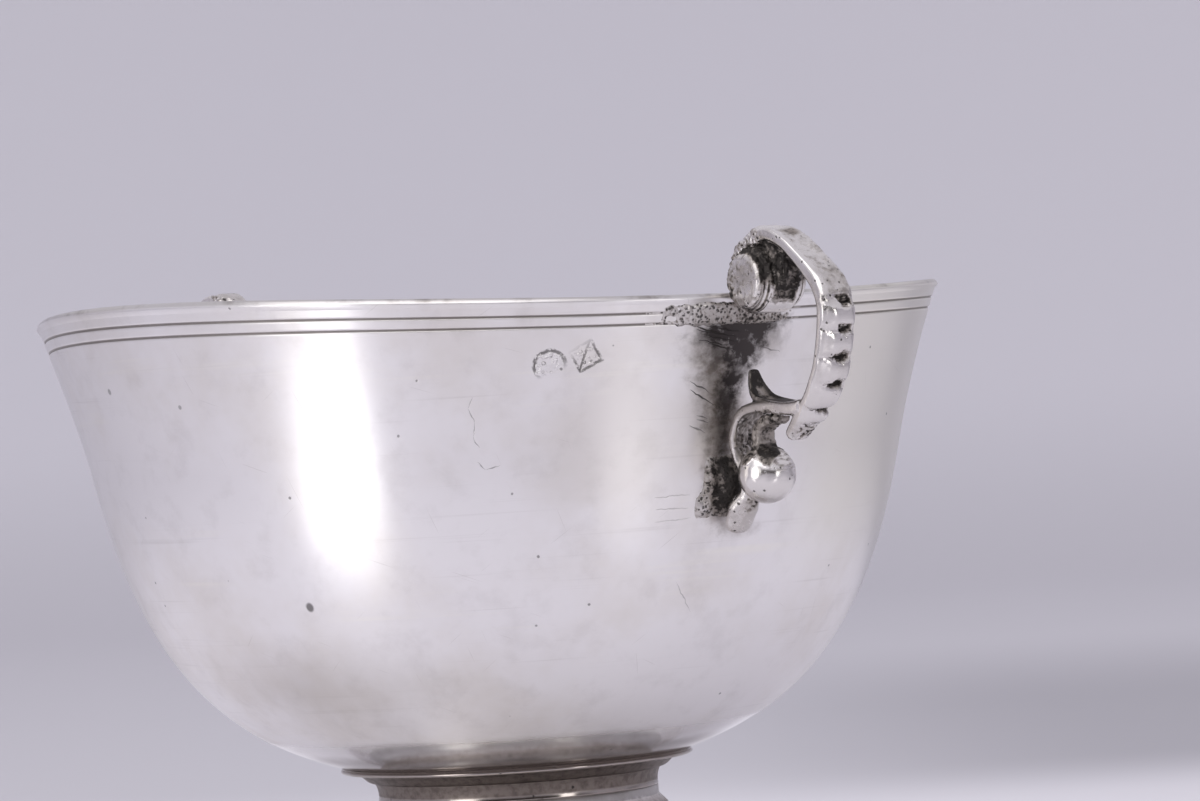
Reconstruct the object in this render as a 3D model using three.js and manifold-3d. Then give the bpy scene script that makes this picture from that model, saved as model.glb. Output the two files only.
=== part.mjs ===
// A two-handled silver drinking cup: a raised bowl on a low spool foot, with two cast scroll handles.
// Millimetres, +Z up. The origin is on the table, under the middle of the foot.
// The handles stand on the X axis, one at each side.
import * as THREE from "three";
import { mergeVertices } from "three/addons/utils/BufferGeometryUtils.js";
import Module from "manifold-3d";

const wasm = await Module();
wasm.setup();

// Driving dimensions of the bowl
const rimHeight = 83;
const rimRadius = 56.2;
const bowlDepth = 60.3;
const wall = 0.95;
// The rim was knocked out of true: it dips near both handles, lifts between them and leans down to one side.
// The turns are in degrees about the axis, from the right handle.
const rimSag = 1.7;
const sagTurn = -10;
const rimLean = 2.1;
const leanTurn = 135;
const bendDepth = 30;
// The wall is straightest at the waist, where the round bottom turns into the flared lip
const waistDrop = 20;
const waistRadius = rimRadius - 5.8;
const waistTaper = 0.21;
const bottomFullness = 0.6825;
const sidePull = 26.1;
const flarePull = 5.9;
const lipPull = 5.2;
const lipFlare = 0.344;
// The lip is hammered down on itself, so it is thicker than the wall
const lipThickness = 1.5;
const lipThickening = 3.2;
// Two lines are cut round the outside under the lip
const grooveDrops = [2.4, 3.8];
const grooveWidth = 0.45;
const grooveDepth = 0.28;

// Collar, neck ring, foot and base ring
const collarRadius = 22;
const collarEdge = 0.5;
const collarOgeeRadius = 19.4;
const collarSeat = 0.27;
const neckRingHeight = 2.2;
const neckRadius = 17.5;
const neckRingBulge = 0.4;
const neckWall = 2.6;
const footWall = 1.1;
const stemLength = 2.4;
const coveRadius = 23.4;
const coveHeight = 9.6;
const stepWidth = 0.9;
const stepHeight = 0.8;
const flangeRadius = 30.4;
const flangeThickness = 0.9;
const baseRingRadius = 32.6;
const baseRingHeight = 3.6;
const baseRingWidth = 4.6;
const baseRingLip = 1.1;

// Handles: distances out from the lip's edge, and up or down from the lip beside the handle
const voluteOut = 2.75;
const voluteUp = 2.05;
const wrapRadius = 4.65;
const wrapThickness = 1.6;
const webRadius = 4.7;
const webShift = 0.9;
const webHalfWidth = 1.55;
const eyeRadius = 3.1;
const eyeStepRadius = 3.85;
const eyeProud = 3.75;
const strapHalfWidth = 2.1;
const beadHalfWidth = 2.45;
const tipHalfWidth = 1.6;
const handleRise = 7.8;
const handleReach = 17;
const loopDrop = 13.4;
const tipDrop = 16.8;
const beadCount = 5;
const beadDepth = 0.55;
// The lower scroll follows the wall of the bowl, standing off it by these distances
const scrollStandOff = 2.1;
const scrollDrop = 18.5;
const ballRadius = 3.45;
const ballStandOff = 7;
const ballDrop = 21.4;
const stemThickness = 1.3;
const thornStandOff = 2.7;
const thornDrop = 9.4;
const tailDrop = 27.9;
const tailStandOff = 1.8;

// The two handles were set by eye and aren't quite opposite each other
const handles = [
  { side: "right", turn: 0 },
  { side: "left", turn: 182 },
];

// Silver solder that holds the handles
const bandTop = 1.2;
const bandBottom = 4.7;
const bandThickness = 0.8;
const bandReaches = [-14, 8];
const padDrop = 22.4;
const padSize = { out: 2.3, along: 4.4, up: 4.2 };

// Clearance that stands for a soldered joint between two solids
const jointGap = 0.3;

// Facets round each piece
const facets = 50;
const eyeFacets = 16;

const silver = { color: 0xc9c4c6, roughness: 0.24, metalness: 1 };
const castSilver = { color: 0xc3bebd, roughness: 0.3, metalness: 1 };
const darkSolder = { color: 0x7b736c, roughness: 0.6, metalness: 0.8 };

const vec = (x, y) => new THREE.Vector2(x, y);

function toSolid(geometry) {
  const bare = geometry.clone();
  bare.deleteAttribute("normal");
  bare.deleteAttribute("uv");
  const merged = mergeVertices(bare, 1e-4);
  const mesh = new wasm.Mesh({
    numProp: 3,
    vertProperties: new Float32Array(merged.attributes.position.array),
    triVerts: new Uint32Array(merged.index.array),
  });
  return new wasm.Manifold(mesh);
}

function toMesh(name, solid, finish) {
  const { vertProperties, triVerts } = solid.getMesh();
  const geometry = new THREE.BufferGeometry();
  geometry.setAttribute("position", new THREE.BufferAttribute(vertProperties, 3));
  geometry.setIndex(new THREE.BufferAttribute(triVerts, 1));
  geometry.computeVertexNormals();
  const mesh = new THREE.Mesh(geometry, new THREE.MeshStandardMaterial(finish));
  mesh.name = name;
  return mesh;
}

// Turns a closed outline of radius and height round the Z axis
function turned(outline) {
  const area = THREE.ShapeUtils.area(outline);
  const points = area < 0 ? [...outline].reverse() : [...outline];
  points.push(points[0].clone());
  const geometry = new THREE.LatheGeometry(points, facets);
  geometry.rotateX(Math.PI / 2);
  return geometry;
}

// The bowl's outside, from the middle of the underside up to the lip, as radius and height
function bowlOutline() {
  const top = rimHeight;
  const waist = vec(waistRadius, top - waistDrop);
  const bottom = new THREE.CubicBezierCurve(
    vec(0, top - bowlDepth),
    vec(waistRadius * bottomFullness, top - bowlDepth),
    vec(waistRadius - waistTaper * sidePull, top - waistDrop - sidePull),
    waist,
  );
  const flare = new THREE.CubicBezierCurve(
    waist,
    vec(waistRadius + waistTaper * flarePull, top - waistDrop + flarePull),
    vec(rimRadius - lipFlare * lipPull, top - lipPull),
    vec(rimRadius, top),
  );
  return { bottom, flare };
}

function radiusOnCurve(curve, height) {
  let low = 0;
  let high = 1;
  for (let step = 0; step < 40; step += 1) {
    const middle = (low + high) / 2;
    if (curve.getPoint(middle).y < height) low = middle;
    else high = middle;
  }
  return curve.getPoint(low).x;
}

// Radius of the bowl's outside at a height
function wallRadius(height) {
  const { bottom, flare } = bowlOutline();
  const curve = height < rimHeight - waistDrop ? bottom : flare;
  return radiusOnCurve(curve, height);
}

// Where the curve of the bowl's underside reaches a radius, from 0 at the axis to 1 at the waist
function undersidePlace(radius) {
  const { bottom } = bowlOutline();
  let low = 0;
  let high = 1;
  for (let step = 0; step < 40; step += 1) {
    const middle = (low + high) / 2;
    if (bottom.getPoint(middle).x < radius) low = middle;
    else high = middle;
  }
  return low;
}

// Points along a curve moved sideways: positive is away from the metal
function offsetPoints(curve, steps, distance, from = 0, to = 1) {
  const points = [];
  for (let step = 0; step <= steps; step += 1) {
    const along = from + ((to - from) * step) / steps;
    const point = curve.getPoint(along);
    const tangent = curve.getTangent(along);
    points.push(vec(Math.max(0, point.x + tangent.y * distance), point.y - tangent.x * distance));
  }
  return points;
}

// How far the rim lies under its true height at a turn about the axis
function rimDrop(degrees) {
  const fromSag = THREE.MathUtils.degToRad(degrees - sagTurn);
  const fromLean = THREE.MathUtils.degToRad(degrees - leanTurn);
  return rimSag * Math.cos(2 * fromSag) + rimLean * (1 + Math.cos(fromLean));
}

// Bends the rim out of true, fading out down the wall. turn is where the shape's own X axis will point.
function bendRim(geometry, turn = 0) {
  const position = geometry.attributes.position;
  for (let i = 0; i < position.count; i += 1) {
    const x = position.getX(i);
    const y = position.getY(i);
    const z = position.getZ(i);
    const degrees = THREE.MathUtils.radToDeg(Math.atan2(y, x)) + turn;
    const share = Math.max(0, 1 - (rimHeight - z) / bendDepth);
    position.setZ(i, z - share * share * rimDrop(degrees));
  }
  return geometry;
}

// The flared upper wall from the waist to just under the lip, with the two cut lines
function groovedFlare() {
  const { flare } = bowlOutline();
  const lowestCut = Math.max(...grooveDrops) + 3 * grooveWidth;
  const points = places(waistDrop, lowestCut, 5).map((drop) => {
    const height = rimHeight - drop;
    return vec(radiusOnCurve(flare, height), height);
  });
  for (const drop of [...grooveDrops].sort((a, b) => b - a)) {
    const edges = [drop + grooveWidth / 2, drop, drop - grooveWidth / 2];
    const cuts = [0, grooveDepth, 0];
    edges.forEach((edge, i) => {
      const height = rimHeight - edge;
      points.push(vec(radiusOnCurve(flare, height) - cuts[i], height));
    });
  }
  return points;
}

function bowl() {
  const { bottom, flare } = bowlOutline();
  const outside = [...offsetPoints(bottom, 11, 0).slice(0, -1), ...groovedFlare()];
  const lip = [];
  const lipRadius = lipThickness / 2;
  for (const degrees of [10, 50, 90, 130, 170]) {
    const angle = THREE.MathUtils.degToRad(degrees);
    const x = rimRadius - lipRadius + lipRadius * Math.cos(angle);
    lip.push(vec(x, rimHeight - lipRadius + lipRadius * Math.sin(angle)));
  }
  const lipStart = 1 - lipThickening / waistDrop;
  const inside = [
    ...offsetPoints(bottom, 7, -wall).slice(0, -1),
    ...offsetPoints(flare, 3, -wall, 0, lipStart),
  ].reverse();
  return toSolid(bendRim(turned([...outside, ...lip, ...inside])));
}

// The space that the bowl fills, grown by a clearance, to cut whatever is soldered to it
function bowlEnvelope(clearance, turn = 0) {
  const { bottom, flare } = bowlOutline();
  const outline = [
    ...offsetPoints(bottom, 16, clearance),
    ...offsetPoints(flare, 8, clearance, 0.12, 0.94),
    vec(rimRadius + clearance, rimHeight - lipThickness / 2),
    vec(rimRadius - lipThickness / 4, rimHeight + clearance),
    vec(0, rimHeight + clearance),
  ];
  return toSolid(bendRim(turned(outline), turn));
}

// Level of the bowl's underside at a radius
function undersideLevel(radius) {
  return bowlOutline().bottom.getPoint(undersidePlace(radius)).y;
}

// Levels of the stack under the bowl, from the collar's edge down
const collarTop = undersideLevel(collarRadius) - jointGap;
const collarBottom = undersideLevel(neckRadius - neckWall) - jointGap - collarSeat;
const footTop = collarBottom - neckRingHeight;

// A moulded flange that hugs the underside of the bowl, with an ogee below its edge
function collar() {
  const inner = neckRadius - neckWall;
  const ogee = new THREE.CubicBezierCurve(
    vec(neckRadius + neckRingBulge, collarBottom),
    vec(collarOgeeRadius, collarBottom),
    vec(collarOgeeRadius - collarEdge, collarTop - collarEdge),
    vec(collarRadius - collarEdge / 2, collarTop - collarEdge),
  );
  const { bottom } = bowlOutline();
  const seat = offsetPoints(bottom, 3, jointGap, undersidePlace(inner), undersidePlace(collarRadius));
  const outline = [...ogee.getPoints(3), vec(collarRadius, collarTop - collarEdge / 2), ...seat.reverse()];
  outline.push(vec(inner, collarBottom));
  return toSolid(turned(outline));
}

// A plain band between the collar and the foot, drawn in a little at its middle
function neckRing() {
  const outside = new THREE.QuadraticBezierCurve(
    vec(neckRadius, footTop),
    vec(neckRadius - neckRingBulge / 2, (collarBottom + footTop) / 2),
    vec(neckRadius + neckRingBulge, collarBottom),
  );
  const inner = neckRadius - neckWall;
  const outline = [vec(inner, footTop), ...outside.getPoints(3), vec(inner, collarBottom)];
  return toSolid(turned(outline)).subtract(bowlEnvelope(jointGap));
}

// The foot is raised from sheet: a stem, a hollow curve, a step and a rounded shoulder to a flat flange
function foot() {
  const stemBottom = footTop - stemLength;
  const cove = new THREE.CubicBezierCurve(
    vec(neckRadius, stemBottom),
    vec(neckRadius, (stemBottom + coveHeight) / 2),
    vec(neckRadius + (coveRadius - neckRadius) * 0.35, coveHeight + 1),
    vec(coveRadius, coveHeight),
  );
  const shoulderStart = coveRadius + stepWidth;
  const shoulderTop = coveHeight - stepHeight;
  const flangeTop = baseRingHeight + flangeThickness;
  const shoulder = new THREE.CubicBezierCurve(
    vec(shoulderStart, shoulderTop),
    vec(flangeRadius - stepWidth * 1.4, shoulderTop - stepHeight * 0.4),
    vec(flangeRadius - stepWidth * 1.2, flangeTop + stepHeight * 1.5),
    vec(flangeRadius - stepWidth, flangeTop),
  );
  const outside = [
    vec(neckRadius, footTop),
    ...cove.getPoints(5),
    vec(shoulderStart, coveHeight - stepHeight * 0.1),
    ...shoulder.getPoints(4),
    vec(flangeRadius, flangeTop),
  ];
  const inside = [
    vec(flangeRadius, baseRingHeight),
    vec(flangeRadius - stepWidth - footWall, baseRingHeight),
    ...offsetPoints(shoulder, 2, footWall, 0, 0.8).reverse(),
    ...offsetPoints(cove, 3, footWall).reverse(),
    vec(neckRadius - footWall, footTop),
  ];
  return toSolid(turned([...outside, ...inside]));
}

// A moulded wire ring soldered under the foot's flange
function baseRing() {
  const inner = baseRingRadius - baseRingWidth;
  const shelf = flangeRadius + jointGap;
  const bead = new THREE.CubicBezierCurve(
    vec(baseRingRadius, baseRingLip),
    vec(baseRingRadius, baseRingHeight * 0.75),
    vec(shelf + baseRingLip / 2, baseRingHeight),
    vec(shelf, baseRingHeight),
  );
  const outline = [
    vec(inner, 0),
    vec(baseRingRadius - baseRingLip / 4, 0),
    vec(baseRingRadius, baseRingLip / 4),
    ...bead.getPoints(4),
    vec(inner, baseRingHeight),
  ];
  return toSolid(turned(outline));
}

// Joins rings of points, each ring the same way round, into one closed body with a point at each end
function lofted(rings, firstTip, lastTip) {
  const count = rings[0].length;
  const positions = [];
  rings.flat().forEach((point) => positions.push(point.x, point.y, point.z));
  const firstIndex = positions.length / 3;
  positions.push(firstTip.x, firstTip.y, firstTip.z, lastTip.x, lastTip.y, lastTip.z);
  const index = [];
  for (let k = 0; k < count; k += 1) {
    const next = (k + 1) % count;
    index.push(firstIndex, k, next);
    for (let ring = 0; ring < rings.length - 1; ring += 1) {
      const a = ring * count;
      const b = a + count;
      index.push(a + k, b + next, a + next, a + k, b + k, b + next);
    }
    const last = (rings.length - 1) * count;
    index.push(firstIndex + 1, last + next, last + k);
  }
  const geometry = new THREE.BufferGeometry();
  geometry.setAttribute("position", new THREE.Float32BufferAttribute(positions, 3));
  geometry.setIndex(index);
  return geometry;
}

// Evenly spaced places from one share of a bar's length to another
function places(from, to, steps) {
  return Array.from({ length: steps + 1 }, (_, step) => from + ((to - from) * step) / steps);
}

// A bar bent in the XZ plane, with a softened rectangle as its section and rounded ends.
// section(along) gives how far it reaches to the left of its course (outer), to the right (inner)
// and to each side in Y (half). along runs from 0 to 1.
const sectionPoints = 8;
const squareness = 0.45;
const endSizes = [0.95, 0.7];
const endPushes = [0.5, 0.9];
function bar(course, alongs, section) {
  const knots = course.map(([x, z]) => new THREE.Vector3(x, 0, z));
  const curve = new THREE.CatmullRomCurve3(knots, false, "centripetal");
  const first = section(0).inner;
  const last = section(1).inner;
  const stations = [
    ...[1, 0].map((i) => ({ along: 0, size: endSizes[i], push: -first * endPushes[i] })),
    ...alongs.map((along) => ({ along, size: 1, push: 0 })),
    ...[0, 1].map((i) => ({ along: 1, size: endSizes[i], push: last * endPushes[i] })),
  ];
  const soften = (value) => Math.sign(value) * Math.abs(value) ** squareness;
  const widest = soften(Math.cos(Math.PI / sectionPoints));
  const rings = stations.map(({ along, size, push }) => {
    const centre = curve.getPointAt(along);
    const tangent = curve.getTangentAt(along);
    const { outer, inner, half } = section(along);
    const ring = [];
    for (let k = 0; k < sectionPoints; k += 1) {
      const angle = (2 * Math.PI * (k + 0.5)) / sectionPoints;
      const reach = Math.cos(angle) > 0 ? outer : inner;
      const side = (soften(Math.cos(angle)) / widest) * reach * size;
      const across = (soften(Math.sin(angle)) / widest) * half * size;
      const x = centre.x - tangent.z * side + tangent.x * push;
      const z = centre.z + tangent.x * side + tangent.z * push;
      ring.push(new THREE.Vector3(x, across, z));
    }
    return ring;
  });
  const start = curve.getPointAt(0).addScaledVector(curve.getTangentAt(0), -first);
  const end = curve.getPointAt(1).addScaledVector(curve.getTangentAt(1), last);
  return toSolid(lofted(rings, start, end));
}

// A value that runs through evenly spaced stops along a bar
function blend(stops, along) {
  const place = Math.min(along, 0.9999) * (stops.length - 1);
  const index = Math.floor(place);
  return THREE.MathUtils.lerp(stops[index], stops[index + 1], place - index);
}

// Where a handle sits: places given from the lip beside it, where the rim has dipped, or from the wall
function handleSeat(turn) {
  const level = rimHeight - rimDrop(turn);
  return {
    turn,
    atLip: (out, up) => [rimRadius + out, level + up],
    atWall: (standOff, up) => [wallRadius(level + up) + standOff, level + up],
  };
}

// The strap rolls round the volute, rises to the crest and falls in a long beaded curve to its tip
function strap({ atLip }, extra) {
  const wrapCourse = [205, 180, 155, 130].map((degrees) => {
    const angle = THREE.MathUtils.degToRad(degrees);
    const reach = wrapRadius - wrapThickness / 2;
    return atLip(voluteOut + reach * Math.cos(angle), voluteUp + reach * Math.sin(angle));
  });
  const course = [
    ...wrapCourse,
    atLip(voluteOut + 1.2, handleRise - 1.15),
    atLip(voluteOut + 2.8, handleRise - 1.15),
    atLip(handleReach - 8.4, handleRise - 2.5),
    atLip(handleReach - 6.5, handleRise - 3.9),
    atLip(handleReach - 4, handleRise - 5.9),
    atLip(handleReach - 2.3, handleRise - 7.7),
    atLip(handleReach - 1.35, -loopDrop + 11.2),
    atLip(handleReach - 1.5, -loopDrop + 9),
    atLip(handleReach - 2.2, -loopDrop + 6.1),
    atLip(handleReach - 3.1, -loopDrop + 3.6),
    atLip(handleReach - 4.8, -loopDrop + 1.2),
    atLip(handleReach - 7, -loopDrop - 0.8),
    atLip(handleReach - 8.9, -tipDrop + 1),
    atLip(handleReach - 10.1, -tipDrop),
  ];
  const thickness = [1.5, 1.6, 1.7, 1.8, 1.8, 1.9, 2.1, 2.4, 2.5, 2.2, 2, 2, 2, 2.2, 1.7];
  const beadsFrom = 0.565;
  const beadsTo = 0.965;
  const alongs = [
    ...places(0, beadsFrom, 19),
    ...places(beadsFrom, beadsTo, 4 * beadCount).slice(1),
    ...places(beadsTo, 1, 3).slice(1),
  ];
  return bar(course, alongs, (along) => {
    const half = blend(thickness, along) / 2 + extra;
    const turn = ((along - beadsFrom) / (beadsTo - beadsFrom)) * beadCount;
    const beaded = turn > -0.01 && turn < beadCount + 0.01;
    const bead = beaded ? beadDepth * (Math.abs(Math.sin(Math.PI * turn)) ** 0.6 - 0.65) : 0;
    const widths = [strapHalfWidth, strapHalfWidth, strapHalfWidth, beadHalfWidth, beadHalfWidth, tipHalfWidth];
    return { outer: half + bead, inner: half, half: blend(widths, along) + extra };
  });
}

// The drum of the volute: a web between the turns and a stepped, domed eye at each side
function volute({ atLip }, extra) {
  const profile = [
    vec(0, eyeProud),
    vec(eyeRadius * 0.65, eyeProud - 0.1),
    vec(eyeRadius * 0.92, eyeProud - 0.3),
    vec(eyeRadius, eyeProud - 0.6),
    vec(eyeRadius, webHalfWidth + 0.5),
    vec(eyeStepRadius, webHalfWidth + 0.4),
    vec(eyeStepRadius + 0.1, webHalfWidth - 0.2),
  ].map((point) => vec(point.x > 0 ? point.x + extra : 0, point.y + extra));
  const mirrored = [...profile].reverse().map((point) => vec(point.x, -point.y));
  const [x, z] = atLip(voluteOut, voluteUp);
  const eye = new THREE.LatheGeometry([...profile, ...mirrored].reverse(), eyeFacets);
  eye.translate(x, 0, z);
  const radius = webRadius + extra;
  const web = new THREE.CylinderGeometry(radius, radius, 2 * (webHalfWidth + extra), eyeFacets);
  web.translate(x + webShift, 0, z + webShift);
  return toSolid(eye).add(toSolid(web));
}

// A leaf that springs from the foot of the loop and points up towards the wall
function thorn({ atLip, atWall }, extra) {
  const course = [
    atLip(handleReach - 7.2, -loopDrop - 0.3),
    atLip(handleReach - 9.5, -loopDrop - 0.4),
    atLip(handleReach - 12.6, -loopDrop),
    atWall(thornStandOff + 2.4, -thornDrop - 2.9),
    atWall(thornStandOff + 0.9, -thornDrop - 1.5),
    atWall(thornStandOff, -thornDrop),
  ];
  const thickness = [1.9, 2, 1.9, 1.6, 1.2, 0.7];
  const width = [2.1, 2.1, 2, 1.6, 1.2, 0.7];
  return bar(course, places(0, 1, 9), (along) => {
    const half = blend(thickness, along) / 2 + extra;
    return { outer: half, inner: half, half: blend(width, along) + extra };
  });
}

// The lower scroll curls down along the wall and ends in a drop-shaped tail
function lowerScroll({ atLip, atWall }, extra) {
  const course = [
    atLip(handleReach - 11, -loopDrop - 0.5),
    atLip(handleReach - 14.2, -loopDrop - 0.1),
    atWall(scrollStandOff + 1.4, -scrollDrop + 4.3),
    atWall(scrollStandOff + 0.3, -scrollDrop + 2.6),
    atWall(scrollStandOff, -scrollDrop + 0.8),
    atWall(scrollStandOff + 0.7, -scrollDrop - 1.4),
    atWall(scrollStandOff + 1.7, -scrollDrop - 3.4),
    atWall(scrollStandOff + 1.8, -scrollDrop - 5.2),
    atWall(tailStandOff + 1.2, -tailDrop + 3),
    atWall(tailStandOff + 0.5, -tailDrop + 0.9),
  ];
  const thickness = [1.7, 1.7, 1.7, 1.7, 1.7, 1.7, 1.6, 1.6, 2.2, 2.4, 1.5];
  const width = [2, 2.1, 2.2, 2.3, 2.3, 2.2, 1.8, 1.2, 1, 1.8, 1.7];
  return bar(course, places(0, 1, 20), (along) => {
    const half = blend(thickness, along) / 2 + extra;
    return { outer: half, inner: half, half: blend(width, along) + extra };
  });
}

// The ball that ends the lower scroll, and the short stem above it
function ballAndStem({ atWall }, extra) {
  const [x, z] = atWall(ballStandOff, -ballDrop);
  const ball = new THREE.SphereGeometry(ballRadius + extra, 14, 10);
  ball.rotateX(Math.PI / 2);
  ball.translate(x, 0, z);
  const course = [
    [x + 0.9, z + ballDrop - loopDrop - 0.7],
    [x - 0.7, (z + ballDrop - loopDrop + z) / 2 + 1.4],
    [x - 0.3, z + ballRadius - 0.6],
  ];
  const half = stemThickness / 2 + extra;
  const stem = bar(course, places(0, 1, 4), () => ({ outer: half, inner: half, half: half * 1.5 }));
  return toSolid(ball).add(stem);
}

// One casting: every part of the handle grown by a clearance, so that it can also cut its solder
function handleBody(seat, extra) {
  const shapes = [strap, volute, thorn, lowerScroll, ballAndStem];
  return shapes.map((shape) => shape(seat, extra)).reduce((whole, part) => whole.add(part));
}

// Solder run along the lip beside the handle, filling the two lines there
function upperSolder(seat) {
  const { flare } = bowlOutline();
  const top = 1 - bandTop / waistDrop;
  const bottom = 1 - bandBottom / waistDrop;
  const outer = offsetPoints(flare, 4, jointGap + bandThickness, bottom, top);
  outer[0] = offsetPoints(flare, 1, jointGap + bandThickness / 4, bottom, bottom)[0];
  outer[4] = offsetPoints(flare, 1, jointGap + bandThickness / 4, top, top)[0];
  const inner = offsetPoints(flare, 4, -bandThickness, bottom, top).reverse();
  const band = toSolid(bendRim(turned([...outer, ...inner]), seat.turn));
  const [near, far] = bandReaches;
  const slab = new THREE.BoxGeometry(rimRadius, far - near, bowlDepth);
  slab.translate(rimRadius, (far + near) / 2, rimHeight);
  const strip = band.intersect(toSolid(slab));
  return strip.subtract(bowlEnvelope(jointGap, seat.turn)).subtract(handleBody(seat, jointGap));
}

// Solder that fills the space between the lower scroll and the wall
function lowerSolder(seat) {
  const [x, z] = seat.atWall(jointGap, -padDrop);
  const pad = new THREE.SphereGeometry(1, 12, 8);
  pad.rotateX(Math.PI / 2);
  pad.scale(padSize.out, padSize.along, padSize.up);
  pad.translate(x, 0, z);
  return toSolid(pad).subtract(bowlEnvelope(jointGap, seat.turn)).subtract(handleBody(seat, jointGap));
}

function handleGroup({ side, turn }) {
  const seat = handleSeat(turn);
  const casting = handleBody(seat, 0).subtract(bowlEnvelope(jointGap, turn));
  const group = new THREE.Group();
  group.rotation.z = THREE.MathUtils.degToRad(turn);
  group.add(toMesh(`handle_${side}`, casting, castSilver));
  group.add(toMesh(`upper_solder_${side}`, upperSolder(seat), darkSolder));
  group.add(toMesh(`lower_solder_${side}`, lowerSolder(seat), darkSolder));
  return group;
}

const cup = new THREE.Group();
cup.add(toMesh("bowl", bowl(), silver));
cup.add(toMesh("collar", collar(), silver));
cup.add(toMesh("neck_ring", neckRing(), silver));
cup.add(toMesh("foot", foot(), silver));
cup.add(toMesh("base_ring", baseRing(), silver));
handles.forEach((handle) => cup.add(handleGroup(handle)));

export default cup;
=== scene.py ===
import math

import bpy
import numpy as np
from mathutils import Matrix, Vector, noise


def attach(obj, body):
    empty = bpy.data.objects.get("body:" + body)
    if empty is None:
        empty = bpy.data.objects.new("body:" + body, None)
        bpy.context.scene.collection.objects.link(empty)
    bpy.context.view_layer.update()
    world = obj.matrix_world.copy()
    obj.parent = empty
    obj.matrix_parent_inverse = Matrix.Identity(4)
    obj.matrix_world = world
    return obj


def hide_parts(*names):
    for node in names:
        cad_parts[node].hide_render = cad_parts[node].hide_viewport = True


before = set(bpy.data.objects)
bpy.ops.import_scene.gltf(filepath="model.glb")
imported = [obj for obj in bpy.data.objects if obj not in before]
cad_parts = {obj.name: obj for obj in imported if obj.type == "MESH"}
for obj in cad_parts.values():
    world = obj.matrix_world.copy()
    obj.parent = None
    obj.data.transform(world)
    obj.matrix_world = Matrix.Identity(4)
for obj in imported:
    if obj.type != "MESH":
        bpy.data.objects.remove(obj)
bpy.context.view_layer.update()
scene = bpy.context.scene
scene.view_settings.view_transform = "Standard"

# The camera
# It stands 0.7 m from the cup, a little under the level of the rim, and is tipped sideways.
# It is turned so that the middle of the rim falls where the picture of 1200 by 801 shows it.
camera_distance = 0.7
camera_side = math.radians(56.5)
camera_below = math.radians(0.9)
camera_tip = math.radians(3.6)
rim_middle = Vector((0, 0, 0.082))
rim_in_picture = (487.9, 304)
picture_size = (1200, 801)
focal_pixels = 5600
sensor_width = 36

sideways = Vector((math.cos(camera_side), math.sin(camera_side), 0))
towards = Vector((math.sin(camera_side), -math.cos(camera_side), 0))
upwards = Vector((0, 0, 1))
tipped_right = sideways * math.cos(camera_tip) - upwards * math.sin(camera_tip)
tipped_up = sideways * math.sin(camera_tip) + upwards * math.cos(camera_tip)
stand = rim_middle + camera_distance * (towards - upwards * math.tan(camera_below))
turned = Matrix((tipped_right, tipped_up, towards)).transposed()
straight_on = (turned.transposed() @ (rim_middle - stand)).normalized()
wanted = Vector((rim_in_picture[0] - picture_size[0] / 2, picture_size[1] / 2 - rim_in_picture[1],
                 -focal_pixels))
turned = turned @ wanted.normalized().rotation_difference(straight_on).to_matrix()

camera_data = bpy.data.cameras.new("camera")
camera_data.sensor_width = sensor_width
camera_data.lens = sensor_width * focal_pixels / picture_size[0]
camera_data.clip_start = 0.01
camera = bpy.data.objects.new("camera", camera_data)
camera.matrix_world = Matrix.Translation(stand) @ turned.to_4x4()
scene.collection.objects.link(camera)
scene.camera = camera

# The table and its backdrop
# One sheet of pale grey paper lies under the cup and rises at the far side of the room all round it.
# Where it rises behind the camera it is hung with dark cloth, which gives the silver its dark reflections.
# Sizes from here on are in millimetres until a mesh is made, and a place on the paper is in metres.
MM = 0.001
paper_flat = 1100
paper_rise = 500
paper_wall = 620
paper_colour = (0.69, 0.675, 0.715, 1)
faded_paper = tuple(0.97 * c for c in paper_colour[:3]) + (1,)
floor_share = 0.86
# Painted light: the paper is paler within a reach of the cup, a pool of light that lifts the shade under the
# bowl
painted_light_paper_colour = (0.80, 0.785, 0.82, 1)
painted_light_reach = (0.12, 0.36)
# Painted shadow colour for the paper behind the cup
shaded_paper_colour = (0.43, 0.42, 0.45, 1)
cloth_colour = (0.055, 0.045, 0.04, 1)
cloth_from = (0.55, 1.05)
cloth_up = (0.01, 0.12)


class Flow:
    """What a node gives out. A sum or a product of it adds the node that works it out."""

    def __init__(self, socket):
        self.socket = socket

    def other(self, name):
        """Something else that the same node gives out."""
        return Flow(self.socket.node.outputs[name])

    def __add__(self, value):
        return maths("ADD", self, value)

    def __radd__(self, value):
        return maths("ADD", value, self)

    def __sub__(self, value):
        return maths("SUBTRACT", self, value)

    def __rsub__(self, value):
        return maths("SUBTRACT", value, self)

    def __mul__(self, value):
        return maths("MULTIPLY", self, value)

    def __truediv__(self, value):
        return maths("DIVIDE", self, value)

    def __rtruediv__(self, value):
        return maths("DIVIDE", value, self)


def feed(node, key, value):
    """Sets one input of a node, or links it to what another node gives out."""
    if isinstance(value, Flow):
        node.id_data.links.new(value.socket, node.inputs[key])
    else:
        node.inputs[key].default_value = value


def step(tree, kind, inputs=None, out=0, **settings):
    """Adds a node, sets it, and links or fills its inputs."""
    node = tree.nodes.new(kind)
    for name, value in settings.items():
        setattr(node, name, value)
    for key, value in (inputs or {}).items():
        feed(node, key, value)
    return Flow(node.outputs[out])


def tree_of(*values):
    """The tree of nodes that the values come from."""
    return next(value.socket.id_data for value in values if isinstance(value, Flow))


def maths(operation, *values):
    """What an operation makes of one, two or three numbers."""
    return step(tree_of(*values), "ShaderNodeMath", dict(enumerate(values)), operation=operation)


def vector(operation, *values):
    """What an operation makes of places: a number if it measures, otherwise another place."""
    out = "Value" if operation in ("LENGTH", "DISTANCE", "DOT_PRODUCT") else "Vector"
    return step(tree_of(*values), "ShaderNodeVectorMath", dict(enumerate(values)), out, operation=operation)


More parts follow.
